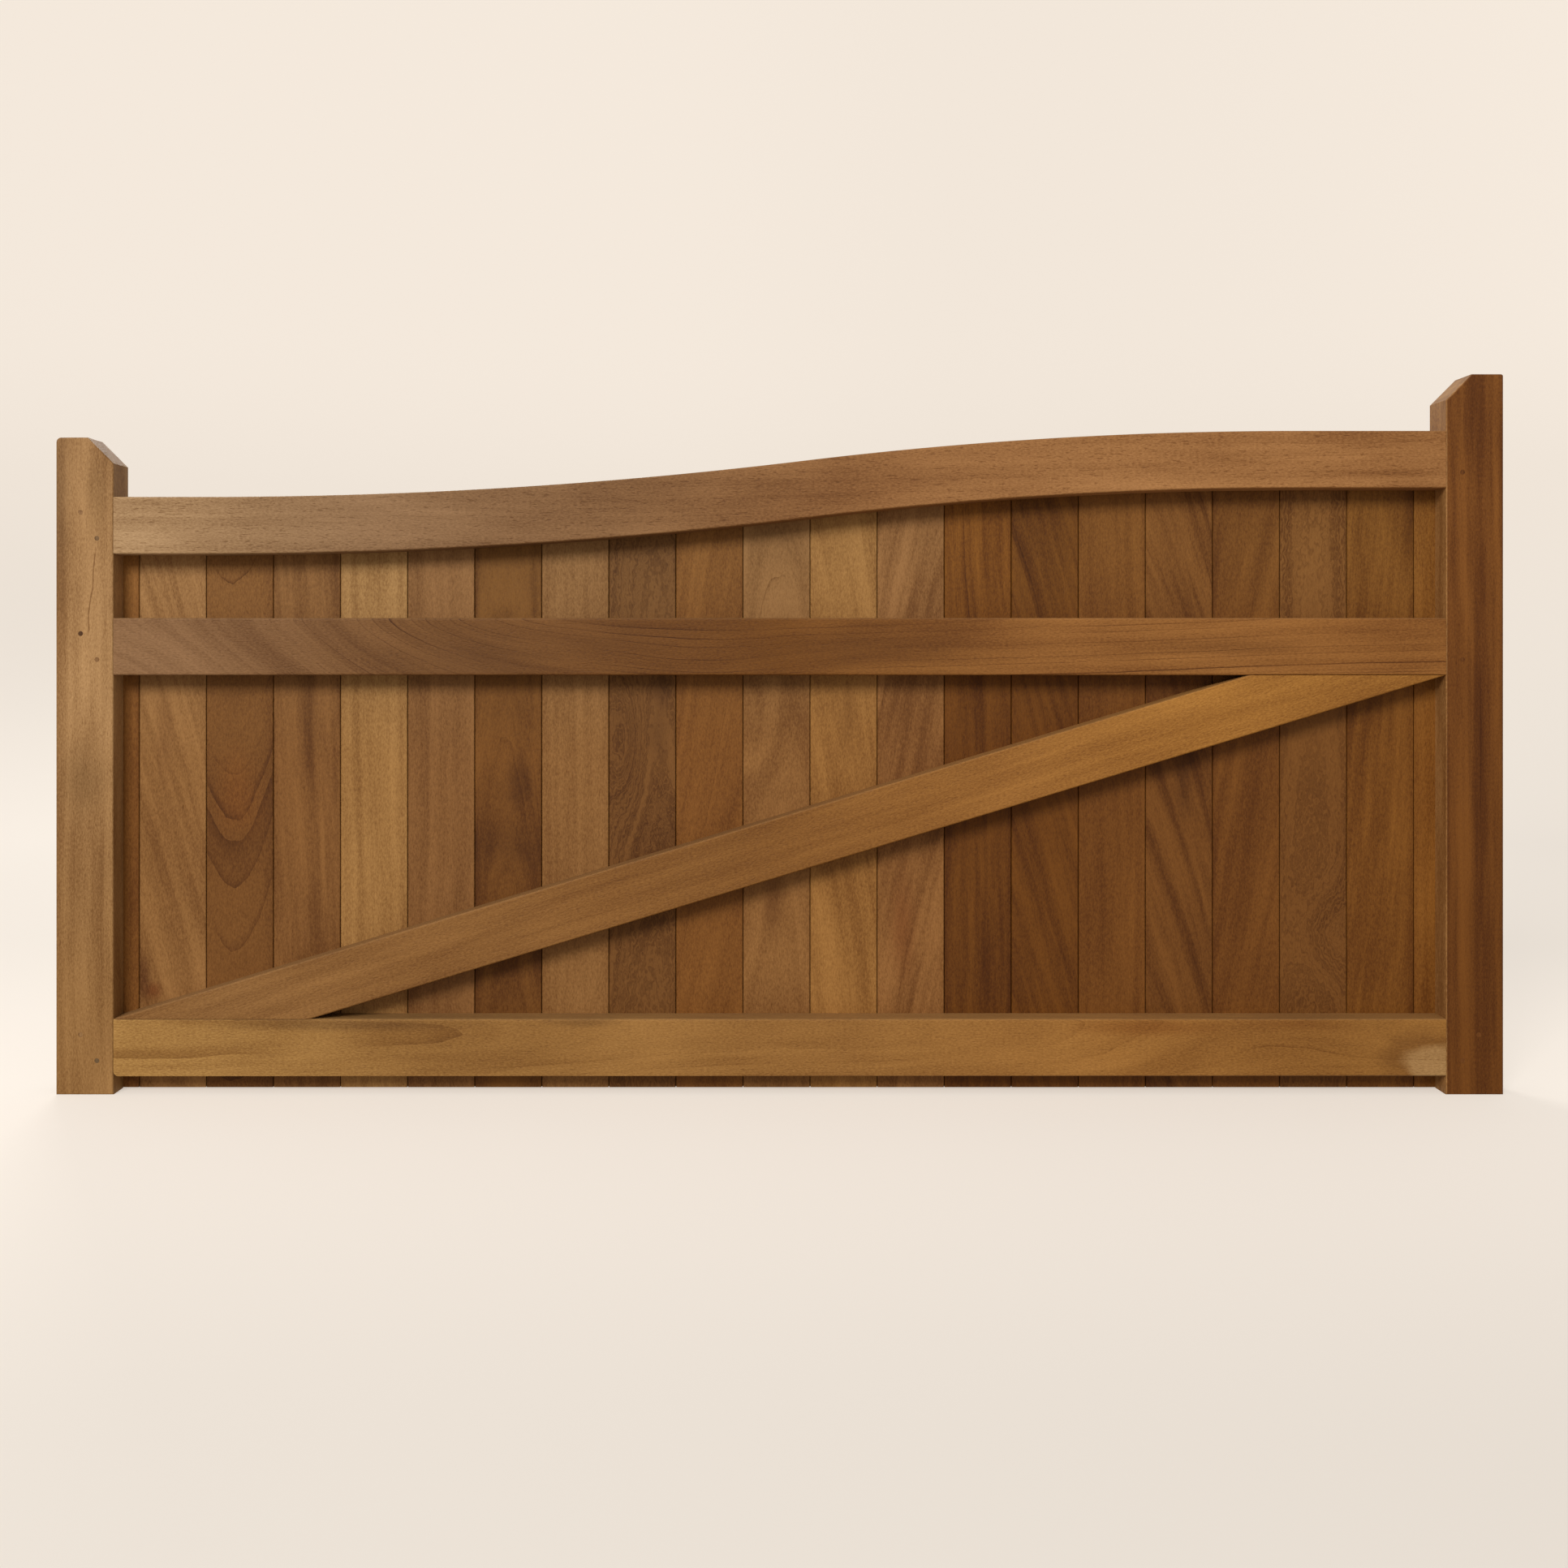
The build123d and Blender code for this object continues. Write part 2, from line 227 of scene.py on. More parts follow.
# How fine each part of the figure is, to the metre: across, deep and along the grain.
SLOW_WANDER, FINE_WANDER, FINE_SHARE = (3.2, 3.2, 1.1), (30, 30, 7), (0.14, 0.14, 0.14)
FADING, CRINKLES, WOBBLES = (9, 9, 3), (110, 110, 60), (24, 24, 13)
STREAKS, FLECKS, PORES, PATCHES = (75, 40, 4), (430, 430, 190), (420, 420, 75), (11, 8, 3.2)
BAND_SCALE, UNEVEN_SCALE, UNEVEN_YEARS = 0.6, 0.37, 4.0
LINE_SHARPNESS = 14.0
CRINKLE_SCALE, CRINKLE_WIDTH = 1.6, 0.16


def node(tree, kind, values, **settings):
    """Adds one shader node, sets it up, and wires or fills its inputs."""
    made = tree.nodes.new("ShaderNode" + kind)
    for name, value in settings.items():
        setattr(made, name, value)
    for name, value in values.items():
        if isinstance(value, bpy.types.NodeSocket):
            tree.links.new(value, made.inputs[name])
        else:
            made.inputs[name].default_value = value
    return made


def maths(tree, operation, *values):
    return node(tree, "Math", dict(enumerate(values)), operation=operation).outputs[0]


def vectors(tree, operation, *values):
    made = node(tree, "VectorMath", dict(enumerate(values)), operation=operation)
    return made.outputs["Value" if operation in ("LENGTH", "DOT_PRODUCT") else "Vector"]


def noise(tree, place, grain, detail, roughness=0.5, output="Fac"):
    place = vectors(tree, "MULTIPLY", place, grain)
    values = {"Vector": place, "Scale": 1.0, "Detail": detail, "Roughness": roughness}
    return node(tree, "TexNoise", values).outputs[output]


def rise(tree, value, start, end):
    """0 below start, 1 above end, and smooth between."""
    values = {"Value": value, "From Min": start, "From Max": end}
    return node(tree, "MapRange", values, interpolation_type="SMOOTHSTEP").outputs[0]


def fade(tree, value, start, end):
    """1 below start, 0 above end, and smooth between."""
    return maths(tree, "SUBTRACT", 1.0, rise(tree, value, start, end))


def mix(tree, share, first, second, blend_type="MIX"):
    values = {"Factor": share, 6: first, 7: second}
    return node(tree, "Mix", values, data_type="RGBA", blend_type=blend_type).outputs[2]


def ramp(tree, value, stops):
    """A run of colours, each at its place from 0 to 1."""
    made = node(tree, "ValToRGB", {"Fac": value})
    elements = made.color_ramp.elements
    while len(elements) > len(stops):
        elements.remove(elements[-1])
    while len(elements) < len(stops):
        elements.new(1.0)
    for element, (position, colour) in zip(elements, stops):
        element.position = position
        element.color = (*colour, 1)
    return made.outputs["Color"]


def make_figure():
    """Growth rings, streaks, flecks and pores, in a log's own axes: across, deep and along, in metres."""
    tree = bpy.data.node_groups.new("timber_figure", "ShaderNodeTree")
    tree.interface.new_socket("Place", in_out="INPUT", socket_type="NodeSocketVector")
    for name in ("Heart Aside", "Heart Behind", "Ring Width", "Drift", "Swell", "Wander", "Seed"):
        tree.interface.new_socket(name, in_out="INPUT", socket_type="NodeSocketFloat")
    for name in ("Bands", "Lines", "Curl", "Streaks", "Flecks", "Pores", "Patches", "Wobble"):
        tree.interface.new_socket(name, in_out="OUTPUT", socket_type="NodeSocketFloat")
    given = tree.nodes.new("NodeGroupInput").outputs
    out = tree.nodes.new("NodeGroupOutput").inputs

    shift = node(tree, "CombineXYZ", {0: given["Seed"], 1: given["Seed"], 2: given["Seed"]}).outputs[0]
    place = vectors(tree, "ADD", given["Place"], shift)

    # The log's rings wander along its length, slowly and then finely.
    slow = noise(tree, place, SLOW_WANDER, 1, output="Color")
    fine = noise(tree, place, FINE_WANDER, 2, output="Color")
    slow = vectors(tree, "SUBTRACT", slow, (0.5, 0.5, 0.5))
    fine = vectors(tree, "SUBTRACT", fine, (0.5, 0.5, 0.5))
    wander = node(tree, "CombineXYZ", {0: given["Wander"], 1: given["Wander"], 2: 0.0}).outputs[0]
    bend = vectors(tree, "MULTIPLY", vectors(tree, "MULTIPLY_ADD", fine, FINE_SHARE, slow), wander)
    heart = node(tree, "CombineXYZ", {0: given["Heart Aside"], 1: given["Heart Behind"], 2: 0.0})
    log = vectors(tree, "ADD", vectors(tree, "ADD", given["Place"], heart.outputs[0]), bend)
    _, deep, along = node(tree, "SeparateXYZ", {0: log}).outputs
    radius = vectors(tree, "LENGTH", vectors(tree, "MULTIPLY", log, (1, 1, 0)))
    drifted = maths(tree, "MULTIPLY_ADD", along, given["Drift"], radius)
    depth = maths(tree, "ADD", drifted, given["Swell"])
    count = maths(tree, "ADD", maths(tree, "DIVIDE", depth, given["Ring Width"]), given["Seed"])

    # Soft bands, and a thin dark line at the end of some years' growth.
    bands = {"W": count, "Scale": BAND_SCALE, "Detail": 2.0, "Roughness": 0.55}
    bands = node(tree, "TexNoise", bands, noise_dimensions="1D")
    tree.links.new(bands.outputs["Fac"], out["Bands"])
    uneven = node(tree, "TexNoise", {"W": count, "Scale": UNEVEN_SCALE, "Detail": 1.0}, noise_dimensions="1D")
    years = maths(tree, "MULTIPLY_ADD", uneven.outputs["Fac"], UNEVEN_YEARS, count)
    year = maths(tree, "FLOOR", years)
    dark_year = node(tree, "TexWhiteNoise", {"W": year}, noise_dimensions="1D").outputs["Value"]
    late = maths(tree, "POWER", maths(tree, "FRACT", years), LINE_SHARPNESS)
    faded = rise(tree, noise(tree, place, FADING, 1), 0.35, 0.65)
    late = maths(tree, "MULTIPLY", late, maths(tree, "MULTIPLY", dark_year, faded))
    tree.links.new(late, out["Lines"])

    # Pale thin crinkles, where the grain is interlocked.
    crinkle = noise(tree, place, CRINKLES, 1)
    crinkle = maths(tree, "MULTIPLY_ADD", crinkle, 2.0, maths(tree, "MULTIPLY", count, 2.0))
    crinkle = {"W": crinkle, "Scale": CRINKLE_SCALE, "Detail": 0.0}
    crinkle = node(tree, "TexNoise", crinkle, noise_dimensions="1D")
    off_line = maths(tree, "ABSOLUTE", maths(tree, "SUBTRACT", crinkle.outputs["Fac"], 0.5))
    tree.links.new(fade(tree, off_line, 0.0, CRINKLE_WIDTH), out["Curl"])

    # Streaks follow the rings. Flecks and pores follow the grain.
    ring_place = node(tree, "CombineXYZ", {0: depth, 1: deep, 2: along}).outputs[0]
    ring_place = vectors(tree, "ADD", ring_place, shift)
    streaks = noise(tree, ring_place, STREAKS, 4, 0.6)
    tree.links.new(streaks, out["Streaks"])
    flecks = noise(tree, place, FLECKS, 3, 0.6)
    tree.links.new(flecks, out["Flecks"])
    pores = noise(tree, place, PORES, 1)
    tree.links.new(rise(tree, pores, 0.58, 0.74), out["Pores"])
    patches = noise(tree, ring_place, PATCHES, 2)
    tree.links.new(patches, out["Patches"])
    tree.links.new(noise(tree, place, WOBBLES, 2), out["Wobble"])
    return tree


figure = make_figure()


# How far the figure darkens and lightens a plank's own tone, where 0.5 leaves it as it is.
FIGURE_GAINS = (
    (0.05, (0.17, 0.13, 0.09)), (0.34, (0.35, 0.315, 0.275)), (0.5, (0.5, 0.5, 0.5)),
    (0.66, (0.64, 0.67, 0.72)), (0.95, (0.80, 0.875, 1.0)),
)
EDGE_REACH = 0.022
SHAKE_WOBBLE, SHAKE_EDGES, SHAKE_DARKNESS = 0.012, (0.0003, 0.0016), 0.28
STAIN_WOBBLE = 0.9
SAWN_GAIN = (0.5, 0.45, 0.4, 1)
# The pale grey on faces that look up: a painted sheen, for the light that falls on them from above.
UPWARD_SHEEN, UPWARD_SHEEN_SHARE = (0.27, 0.165, 0.078, 1), 0.3
GRAIN_BUMP = 0.0006
OILED_SHINE = 0.15
PURE_WHITE = (1, 1, 1, 1)


def timber(
    name, node_name, tones, lie=0.0, heart=(0.05, 0.12), drift=0.03, ring=0.014, wander=0.05, seed=0.0,
    bands=0.3, lines=0.3, curl=0.0, streaks=0.35, patches=0.5, flecks=0.6, pores=0.05, swells=(),
    stains=(), shakes=(), edges=(0.0, 0.0), side_tone=None,
):
    """Oiled iroko for one piece. tones are (along, colour) from its foot or left end to its head or
    right. lie is how far its grain leans from upright. heart is where the pith of its log was, aside and
    behind. Each swell is (along, across, length, width, height), each stain is (along, across, length,
    width, softness, gain), and each shake is (along, across, length, lean). edges darken its two sides:
    on a board this is painted shade along its seams, and on a stile it darkens the outer edge. side_tone is
    (which side, colour) for a side that was next to the bark."""
    material = bpy.data.materials.new(name)
    material.use_nodes = True
    tree = material.node_tree
    tree.nodes.clear()
    space = node(tree, "TexCoord", {})

    # The piece's own axes: across, deep and along its grain, from its middle.
    low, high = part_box(node_name)
    middle = (low + high) / 2
    across = middle.x * cos(lie) - middle.z * sin(lie)
    along = middle.x * sin(lie) + middle.z * cos(lie)
    laid = {"Vector": space.outputs["Object"], "Location": (-across, 0, -along), "Rotation": (0, -lie, 0)}
    place = node(tree, "Mapping", laid).outputs[0]
    place_across, _, place_along = node(tree, "SeparateXYZ", {0: place}).outputs

    swell = 0.0
    for up, aside, length, width, height in swells:
        gap = vectors(tree, "SUBTRACT", place, (aside, 0, up))
        gap = vectors(tree, "MULTIPLY", gap, (1 / width, 0, 1 / length))
        fall = maths(tree, "MULTIPLY", vectors(tree, "DOT_PRODUCT", gap, gap), -1.0)
        hill = maths(tree, "EXPONENT", fall)
        swell = maths(tree, "MULTIPLY_ADD", hill, height, swell)
    grain = tree.nodes.new("ShaderNodeGroup")
    grain.node_tree = figure
    settings = {
        "Place": place, "Heart Aside": heart[0], "Heart Behind": heart[1], "Ring Width": ring,
        "Drift": drift, "Swell": swell, "Wander": wander, "Seed": seed,
    }
    for socket, value in settings.items():
        if isinstance(value, bpy.types.NodeSocket):
            tree.links.new(value, grain.inputs[socket])
        else:
            grain.inputs[socket].default_value = value

    # Dark and light figure, as a gain on the plank's own tone.
    shade = 0.5
    for output, weight in {"Bands": bands, "Streaks": streaks, "Patches": patches, "Flecks": flecks}.items():
        centred = maths(tree, "SUBTRACT", grain.outputs[output], 0.5)
        shade = maths(tree, "MULTIPLY_ADD", centred, weight, shade)
    for output, weight in (("Pores", -pores), ("Lines", -lines), ("Curl", curl)):
        shade = maths(tree, "MULTIPLY_ADD", grain.outputs[output], weight, shade)
    # Darker along the sides: on a board, painted shade along its seams; on a stile, a darker outer edge.
    half = (high.x - low.x) / 2
    for side, weight in zip((-1, 1), edges):
        if weight:
            near = rise(tree, maths(tree, "MULTIPLY", place_across, side), half - EDGE_REACH, half)
            shade = maths(tree, "MULTIPLY_ADD", near, -weight, shade)
    wobble = maths(tree, "SUBTRACT", grain.outputs["Wobble"], 0.5)
    for at, aside, length, lean in shakes:
        run = maths(tree, "SUBTRACT", place_along, at)
        line = maths(tree, "MULTIPLY_ADD", run, lean, aside)
        line = maths(tree, "MULTIPLY_ADD", wobble, SHAKE_WOBBLE, line)
        off = maths(tree, "ABSOLUTE", maths(tree, "SUBTRACT", place_across, line))
        near = fade(tree, maths(tree, "ABSOLUTE", run), length * 0.35, length / 2)
        crack = maths(tree, "MULTIPLY", fade(tree, off, *SHAKE_EDGES), near)
        shade = maths(tree, "MULTIPLY_ADD", crack, -SHAKE_DARKNESS, shade)
    gain = ramp(tree, shade, FIGURE_GAINS)

    # The tone changes along the plank. It is doubled here, because the gains are halved to fit a ramp.
    first, last = tones[0][0], tones[-1][0] + 0.001
    share = node(tree, "MapRange", {"Value": place_along, "From Min": first, "From Max": last}).outputs[0]
    stops = [((at - first) / (last - first), [2 * part for part in tone]) for at, tone in tones]
    tone = ramp(tree, share, stops)
    facing = space.outputs["Normal"]
    if side_tone:
        side, sapwood = side_tone
        turned = maths(tree, "MULTIPLY", node(tree, "SeparateXYZ", {0: facing}).outputs["X"], side)
        doubled = (*[2 * part for part in sapwood], 1)
        tone = mix(tree, rise(tree, turned, 0.3, 0.65), tone, doubled)
    colour = vectors(tree, "MULTIPLY", tone, gain)
    for at, aside, length, width, softness, stained in stains:
        gap = vectors(tree, "SUBTRACT", place, (aside, 0, at))
        gap = vectors(tree, "MULTIPLY", gap, (1 / width, 0, 1 / length))
        off = maths(tree, "MULTIPLY_ADD", wobble, STAIN_WOBBLE, vectors(tree, "LENGTH", gap))
        within = fade(tree, off, 1 - softness, 1 + softness)
        stain = mix(tree, within, PURE_WHITE, (*stained, 1))
        colour = vectors(tree, "MULTIPLY", colour, stain)

    # Sawn ends drink the oil and go dark. Faces that look up get a painted pale sheen, standing for the light
    # they catch from above.
    end = maths(tree, "ABSOLUTE", vectors(tree, "DOT_PRODUCT", facing, (sin(lie), 0, cos(lie))))
    sawn = mix(tree, rise(tree, end, 0.75, 0.95), colour, SAWN_GAIN, "MULTIPLY")
    up = rise(tree, node(tree, "SeparateXYZ", {0: facing}).outputs["Z"], 0.35, 1.0)
    sheened = mix(tree, maths(tree, "MULTIPLY", up, UPWARD_SHEEN_SHARE), sawn, UPWARD_SHEEN)

    height = maths(tree, "MULTIPLY_ADD", grain.outputs["Pores"], -0.6, grain.outputs["Flecks"])
    height = maths(tree, "MULTIPLY_ADD", grain.outputs["Streaks"], 0.5, height)
    bump = node(tree, "Bump", {"Strength": 0.5, "Distance": GRAIN_BUMP, "Height": height}).outputs[0]
    rough = maths(tree, "MULTIPLY_ADD", grain.outputs["Flecks"], 0.3, 0.42)
    values = {"Base Color": sheened, "Roughness": rough, "Normal": bump, "Specular IOR Level": OILED_SHINE}
    surface = node(tree, "BsdfPrincipled", values)
    target = tree.nodes.new("ShaderNodeOutputMaterial")
    tree.links.new(surface.outputs[0], target.inputs["Surface"])
    return material


def set_down(piece, material, name):
    """Finishes a piece, which then stands for its CAD node."""
    clear_bench()
    piece.select_set(True)
    bpy.context.view_layer.objects.active = piece
    bpy.ops.object.shade_smooth_by_angle(angle=radians(40))
    bpy.ops.object.modifier_add(type="WEIGHTED_NORMAL")
    piece.modifiers[-1].keep_sharp = True
    bpy.ops.object.modifier_apply(modifier=piece.modifiers[-1].name)
    piece.data.materials.clear()
    piece.data.materials.append(material)
    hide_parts(name)
    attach(piece, "root")


hanging_iroko = timber(
    # The upper stop is paler and bluer than the lower: painted light, as the upper part catches more of the
    # lamp.
    "hanging_iroko", "hanging_stile", [(-0.4, (0.267, 0.133, 0.042)), (0.1, (0.33, 0.178, 0.068))],
    heart=(0.09, 0.05), drift=0.012, ring=0.02, wander=0.06, seed=3.1, lines=0.12, patches=0.6,
    pores=0.08,
    stains=(
        (-0.02, -0.005, 0.05, 0.03, 0.9, (0.76, 0.74, 0.7)),
        (0.44, -0.05, 0.10, 0.02, 0.9, (0.7, 0.68, 0.66)),
        (0.45, 0.02, 0.05, 0.015, 0.9, (0.85, 0.84, 0.8)),
        (0.18, -0.01, 0.06, 0.02, 0.9, (1.1, 1.12, 1.15)),
    ),
    shakes=((0.29, 0.012, 0.16, 0.10),), edges=(0.06, 0.0),
)
set_down(make_stile("hanging_stile", -1, WORN_CORNER), hanging_iroko, "hanging_stile")


# ---- Closing stile -------------------------------------------------------------------------------------
# The taller post, which meets the other leaf or the closing post. It is made like the hanging stile,
# from a darker, redder plank sawn on the quarter, so it shows straight ribbons, with the paler wood that
# lay next to the bark left on its inner side.

CLEAN_CORNER = 0.0035

closing_iroko = timber(
    "closing_iroko", "closing_stile", [(-0.3, (0.122, 0.039, 0.005)), (0.4, (0.163, 0.056, 0.009))],
    heart=(0.30, 0.03), drift=0.008, ring=0.02, wander=0.03, seed=8.4, bands=0.5, streaks=0.6,
    edges=(0.0, 0.12), side_tone=(-1, (0.34, 0.165, 0.052)),
)
set_down(make_stile("closing_stile", 1, CLEAN_CORNER), closing_iroko, "closing_stile")


# ---- Top rail ------------------------------------------------------------------------------------------
# A swept rail as deep as the stiles, sawn to a hollow and then a round curve from one wide plank, so
# its grain runs straight while its edges bend. Its underside is grooved for the heads of the boards.

RAIL_ARRIS = 0.003
SHOULDER_ARRIS = 0.0012
SWEEP_RISE = 0.1095
SWEEP_START = -0.956
SWEEP_END = 0.858
HOLLOW_SHARE = 0.55
SWEEP_STEPS = 120

top_low, top_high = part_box("top_rail")
level_low, level_high = top_high.z - SWEEP_RISE, top_high.z
sweep_turn = 2 * atan(SWEEP_RISE / (SWEEP_END - SWEEP_START))
radius_sum = (SWEEP_END - SWEEP_START) / sin(sweep_turn)
hollow_radius = HOLLOW_SHARE * radius_sum
round_radius = radius_sum - hollow_radius


def sweep_height(x, drop):
    """The height of the line that runs a distance drop below the rail's top edge."""
    hollow, crown = hollow_radius + drop, round_radius - drop
    if x < SWEEP_START:
        return level_low - drop
    if x > SWEEP_END:
        return level_high - drop
    if x < SWEEP_START + hollow * sin(sweep_turn):
        return level_low + hollow_radius - (hollow**2 - (x - SWEEP_START) ** 2) ** 0.5
    return level_high - round_radius + (crown**2 - (SWEEP_END - x) ** 2) ** 0.5


def runs_along(edge, least=1.0):
    """Tests for an edge that runs along the leaf for at least that far."""
    return abs(edge.verts[0].co.x - edge.verts[1].co.x) > least


def bend_to_sweep(piece):
    """Bends a straight length, whose top would be at the height of FACE, to the line of the sweep."""
    pick(piece, "edges", runs_along)
    bpy.ops.mesh.subdivide(number_cuts=SWEEP_STEPS - 1)
    shape = bmesh.from_edit_mesh(piece.data)
    for point in shape.verts:
        point.co.z = sweep_height(point.co.x, FACE - point.co.z)
    bmesh.update_edit_mesh(piece.data)


def tenon_ends(rail, foot_at):
    """Draws a tenon out of each end of a rail, as long as the stile is wide. foot_at has the height of
    the rail's lower edge at each end, -1 and 1."""
    for side in (-1, 1):
        foot = foot_at[side]
        low, high = foot + TENON_SHOULDER, foot + FACE - TENON_SHOULDER
        at_end = side * opening_half
        for point, facing in (
            ((0, tenon_y[0], 0), (0, 1, 0)),
            ((0, tenon_y[1], 0), (0, 1, 0)),
            ((0, 0, low), (0, 0, 1)),
            ((0, 0, high), (0, 0, 1)),
        ):
            pick(rail, "faces", lambda f: all(abs(v.co.x - at_end) < 1e-5 for v in f.verts))
            scribe(point, facing)

        def in_tenon(face):
            spot = face.calc_center_median()
            inside = tenon_y[0] < spot.y < tenon_y[1] and low < spot.z < high
            return inside and all(abs(v.co.x - at_end) < 1e-5 for v in face.verts)

        pick(rail, "faces", in_tenon)
        draw_out(x=side * FACE)


def ease_shoulders(rail, y):
    """Takes the sharpness off a rail's face where it butts against the stiles."""

    def at_shoulder(edge):
        return lies_flat_at(edge, y) and all(abs(abs(v.co.x) - opening_half) < 1e-5 for v in edge.verts)

    pick(rail, "edges", at_shoulder)
    ease(SHOULDER_ARRIS, 2)


def make_top_rail():
    rail = blank("top_rail_timber", (-opening_half, frame_front, 0), (opening_half, frame_back, FACE))
    for y in (board_front, groove_back):
        pick(rail, "faces", lambda f: f.normal.z < -0.5)
        scribe((0, y, 0), (0, 1, 0))
    bend_to_sweep(rail)

    def is_arris(edge):
        faced = lies_flat_at(edge, frame_front) or lies_flat_at(edge, frame_back)
        return faced and runs_along(edge, 1e-3)

    pick(rail, "edges", is_arris)
    ease(RAIL_ARRIS)
    ease_shoulders(rail, frame_front)
    tenon_ends(rail, {-1: top_low.z, 1: level_high - FACE})
    reach = opening_half + OVERRUN
    groove = blank("groove", (-reach, board_front, -OVERRUN), (reach, groove_back, GROOVE_DEPTH))
    bend_to_sweep(groove)
    cut(rail, groove)
    cut(rail, *[peg_hole(x, z) for side in (-1, 1) for x, z in peg_places(side)[:2]])
    return rail


top_iroko = timber(
    "top_iroko", "top_rail",
    # The stop at the left end is paler and greyer than the wood: painted sheen, where the key lamp glances
    # off.
    [(-1.1, (0.35, 0.21, 0.098)), (-0.7, (0.232, 0.126, 0.056)), (-0.25, (0.207, 0.10, 0.037)),
     (0.15, (0.26, 0.116, 0.037)), (0.5, (0.315, 0.144, 0.047)), (1.0, (0.298, 0.133, 0.042))],
    lie=pi / 2, heart=(0.16, 0.10), drift=0.01, ring=0.02, wander=0.05, seed=1.7, bands=0.2, lines=0.2,
    pores=0.16,
)
set_down(make_top_rail(), top_iroko, "top_rail")


# ---- Middle rail ---------------------------------------------------------------------------------------
# A straight ledge, 45 mm thick, so that the boards pass behind it. Its front arrises are eased, and its
# tenons are pegged like the others. The boards are nailed to it from the outer side.


def make_ledge(name, relieved):
    """A straight rail with its tenons. relieved is how far its lower left corner is rounded."""
    low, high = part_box(name)
    rail = blank(name + "_timber", (-opening_half, low.y, low.z), (opening_half, high.y, high.z))
    if relieved:

        def at_corner(point):
            return abs(point.co.x + opening_half) + point.co.z - low.z < 1e-5

        pick(rail, "edges", lambda e: all(at_corner(v) for v in e.verts))
        ease(relieved, 5)
    pick(rail, "edges", lambda e: runs_along(e) and lies_flat_at(e, low.y))
    ease(RAIL_ARRIS)
    ease_shoulders(rail, low.y)
    tenon_ends(rail, {-1: low.z, 1: low.z})
    rows = {"middle_rail": slice(2, 4), "bottom_rail": slice(4, 6)}
    cut(rail, *[peg_hole(x, z) for side in (-1, 1) for x, z in peg_places(side)[rows[name]]])
    return rail


middle_iroko = timber(
    "middle_iroko", "middle_rail",
    [(-1.05, (0.220, 0.112, 0.047)), (-0.6, (0.155, 0.066, 0.018)), (0.0, (0.144, 0.052, 0.008)),
     (0.5, (0.25, 0.101, 0.023)), (1.0, (0.232, 0.091, 0.0195))],
    lie=pi / 2, heart=(0.055, 0.05), drift=0.03, ring=0.010, wander=0.03, seed=3.1, lines=0.9, bands=0.12,
    streaks=0.35, swells=((-1.2, 0.0, 0.46, 1.0, 0.46), (-0.12, 0.03, 0.16, 0.045, -0.018)),
    stains=(
        (-0.52, 0.02, 0.10, 0.04, 0.9, (0.8, 0.78, 0.8)),
        (-0.30, -0.02, 0.12, 0.03, 0.9, (0.86, 0.84, 0.84)),
        (0.13, 0.005, 0.13, 0.022, 0.9, (0.78, 0.75, 0.72)),
        (0.75, 0.0, 0.10, 0.012, 0.9, (0.82, 0.8, 0.78)),
    ),
)
set_down(make_ledge("middle_rail", 0), middle_iroko, "middle_rail")


# ---- Bottom rail ---------------------------------------------------------------------------------------
# The same section as the middle rail, in a golden plank with a pale loop of sapwood near its closing end.

RELIEVED_CORNER = 0.009

bottom_iroko = timber(
    "bottom_iroko", "bottom_rail",
    [(-1.05, (0.367, 0.194, 0.054)), (-0.5, (0.273, 0.131, 0.033)), (0.1, (0.277, 0.127, 0.031)),
     (0.55, (0.29, 0.126, 0.027)), (1.0, (0.25, 0.108, 0.022))],
    lie=pi / 2, heart=(0.03, 0.09), drift=0.03, ring=0.016, wander=0.04, seed=2.3, bands=0.13, lines=0.25,
    patches=0.35, swells=((0.78, -0.01, 0.22, 0.05, 0.03),),
    stains=(
        (1.07, 0.018, 0.068, 0.040, 0.3, (0.72, 0.68, 0.66)),
        (1.086, 0.026, 0.056, 0.030, 0.2, (1.7, 2.25, 4.0)),
        (0.62, -0.034, 0.10, 0.010, 0.9, (0.82, 0.72, 0.62)),
        (0.85, -0.038, 0.07, 0.010, 0.9, (0.8, 0.72, 0.64)),
        (-0.72, -0.038, 0.14, 0.008, 0.9, (0.72, 0.70, 0.72)),
        (-0.33, -0.042, 0.05, 0.006, 0.9, (0.74, 0.72, 0.72)),
    ),
)
set_down(make_ledge("bottom_rail", RELIEVED_CORNER), bottom_iroko, "bottom_rail")


# ---- Brace ---------------------------------------------------------------------------------------------
# The diagonal that carries the closing end's weight down to the lower hinge. It is a straight 95 by 45 mm
# length, cut to sit on the bottom rail at the hanging stile and under the middle rail at the closing stile.

brace_low, brace_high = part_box("brace")
brace_run, brace_rise = brace_high.x - brace_low.x, brace_high.z - brace_low.z
brace_lean = atan2(brace_rise, brace_run) + asin(FACE / hypot(brace_run, brace_rise))


def brace_middle(x):
    """The height of the brace's centre line at a place along the leaf."""
    foot_x = brace_low.x + FACE / 2 * sin(brace_lean)
    foot_z = brace_low.z - FACE / 2 * cos(brace_lean)
    return foot_z + (x - foot_x) * sin(brace_lean) / cos(brace_lean)


def make_brace():
    half = hypot(brace_run, brace_rise) / 2 + 2 * FACE
    brace = blank("brace_timber", (-half, brace_low.y, -FACE / 2), (half, brace_high.y, FACE / 2))
    pick(brace, "edges", lambda e: runs_along(e) and lies_flat_at(e, brace_low.y))
    ease(RAIL_ARRIS)
    bpy.ops.object.mode_set(mode="OBJECT")
    brace.location = (0, 0, brace_middle(0))
    brace.rotation_euler = (0, -brace_lean, 0)
    bpy.ops.object.transform_apply(location=True, rotation=True, scale=True)
    bpy.ops.object.mode_set(mode="EDIT")
    saw((brace_low.x, 0, 0), (-1, 0, 0))
    saw((brace_high.x, 0, 0), (1, 0, 0))
    saw((0, 0, brace_low.z), (0, 0, -1))
    saw((0, 0, brace_high.z), (0, 0, 1))
    return brace


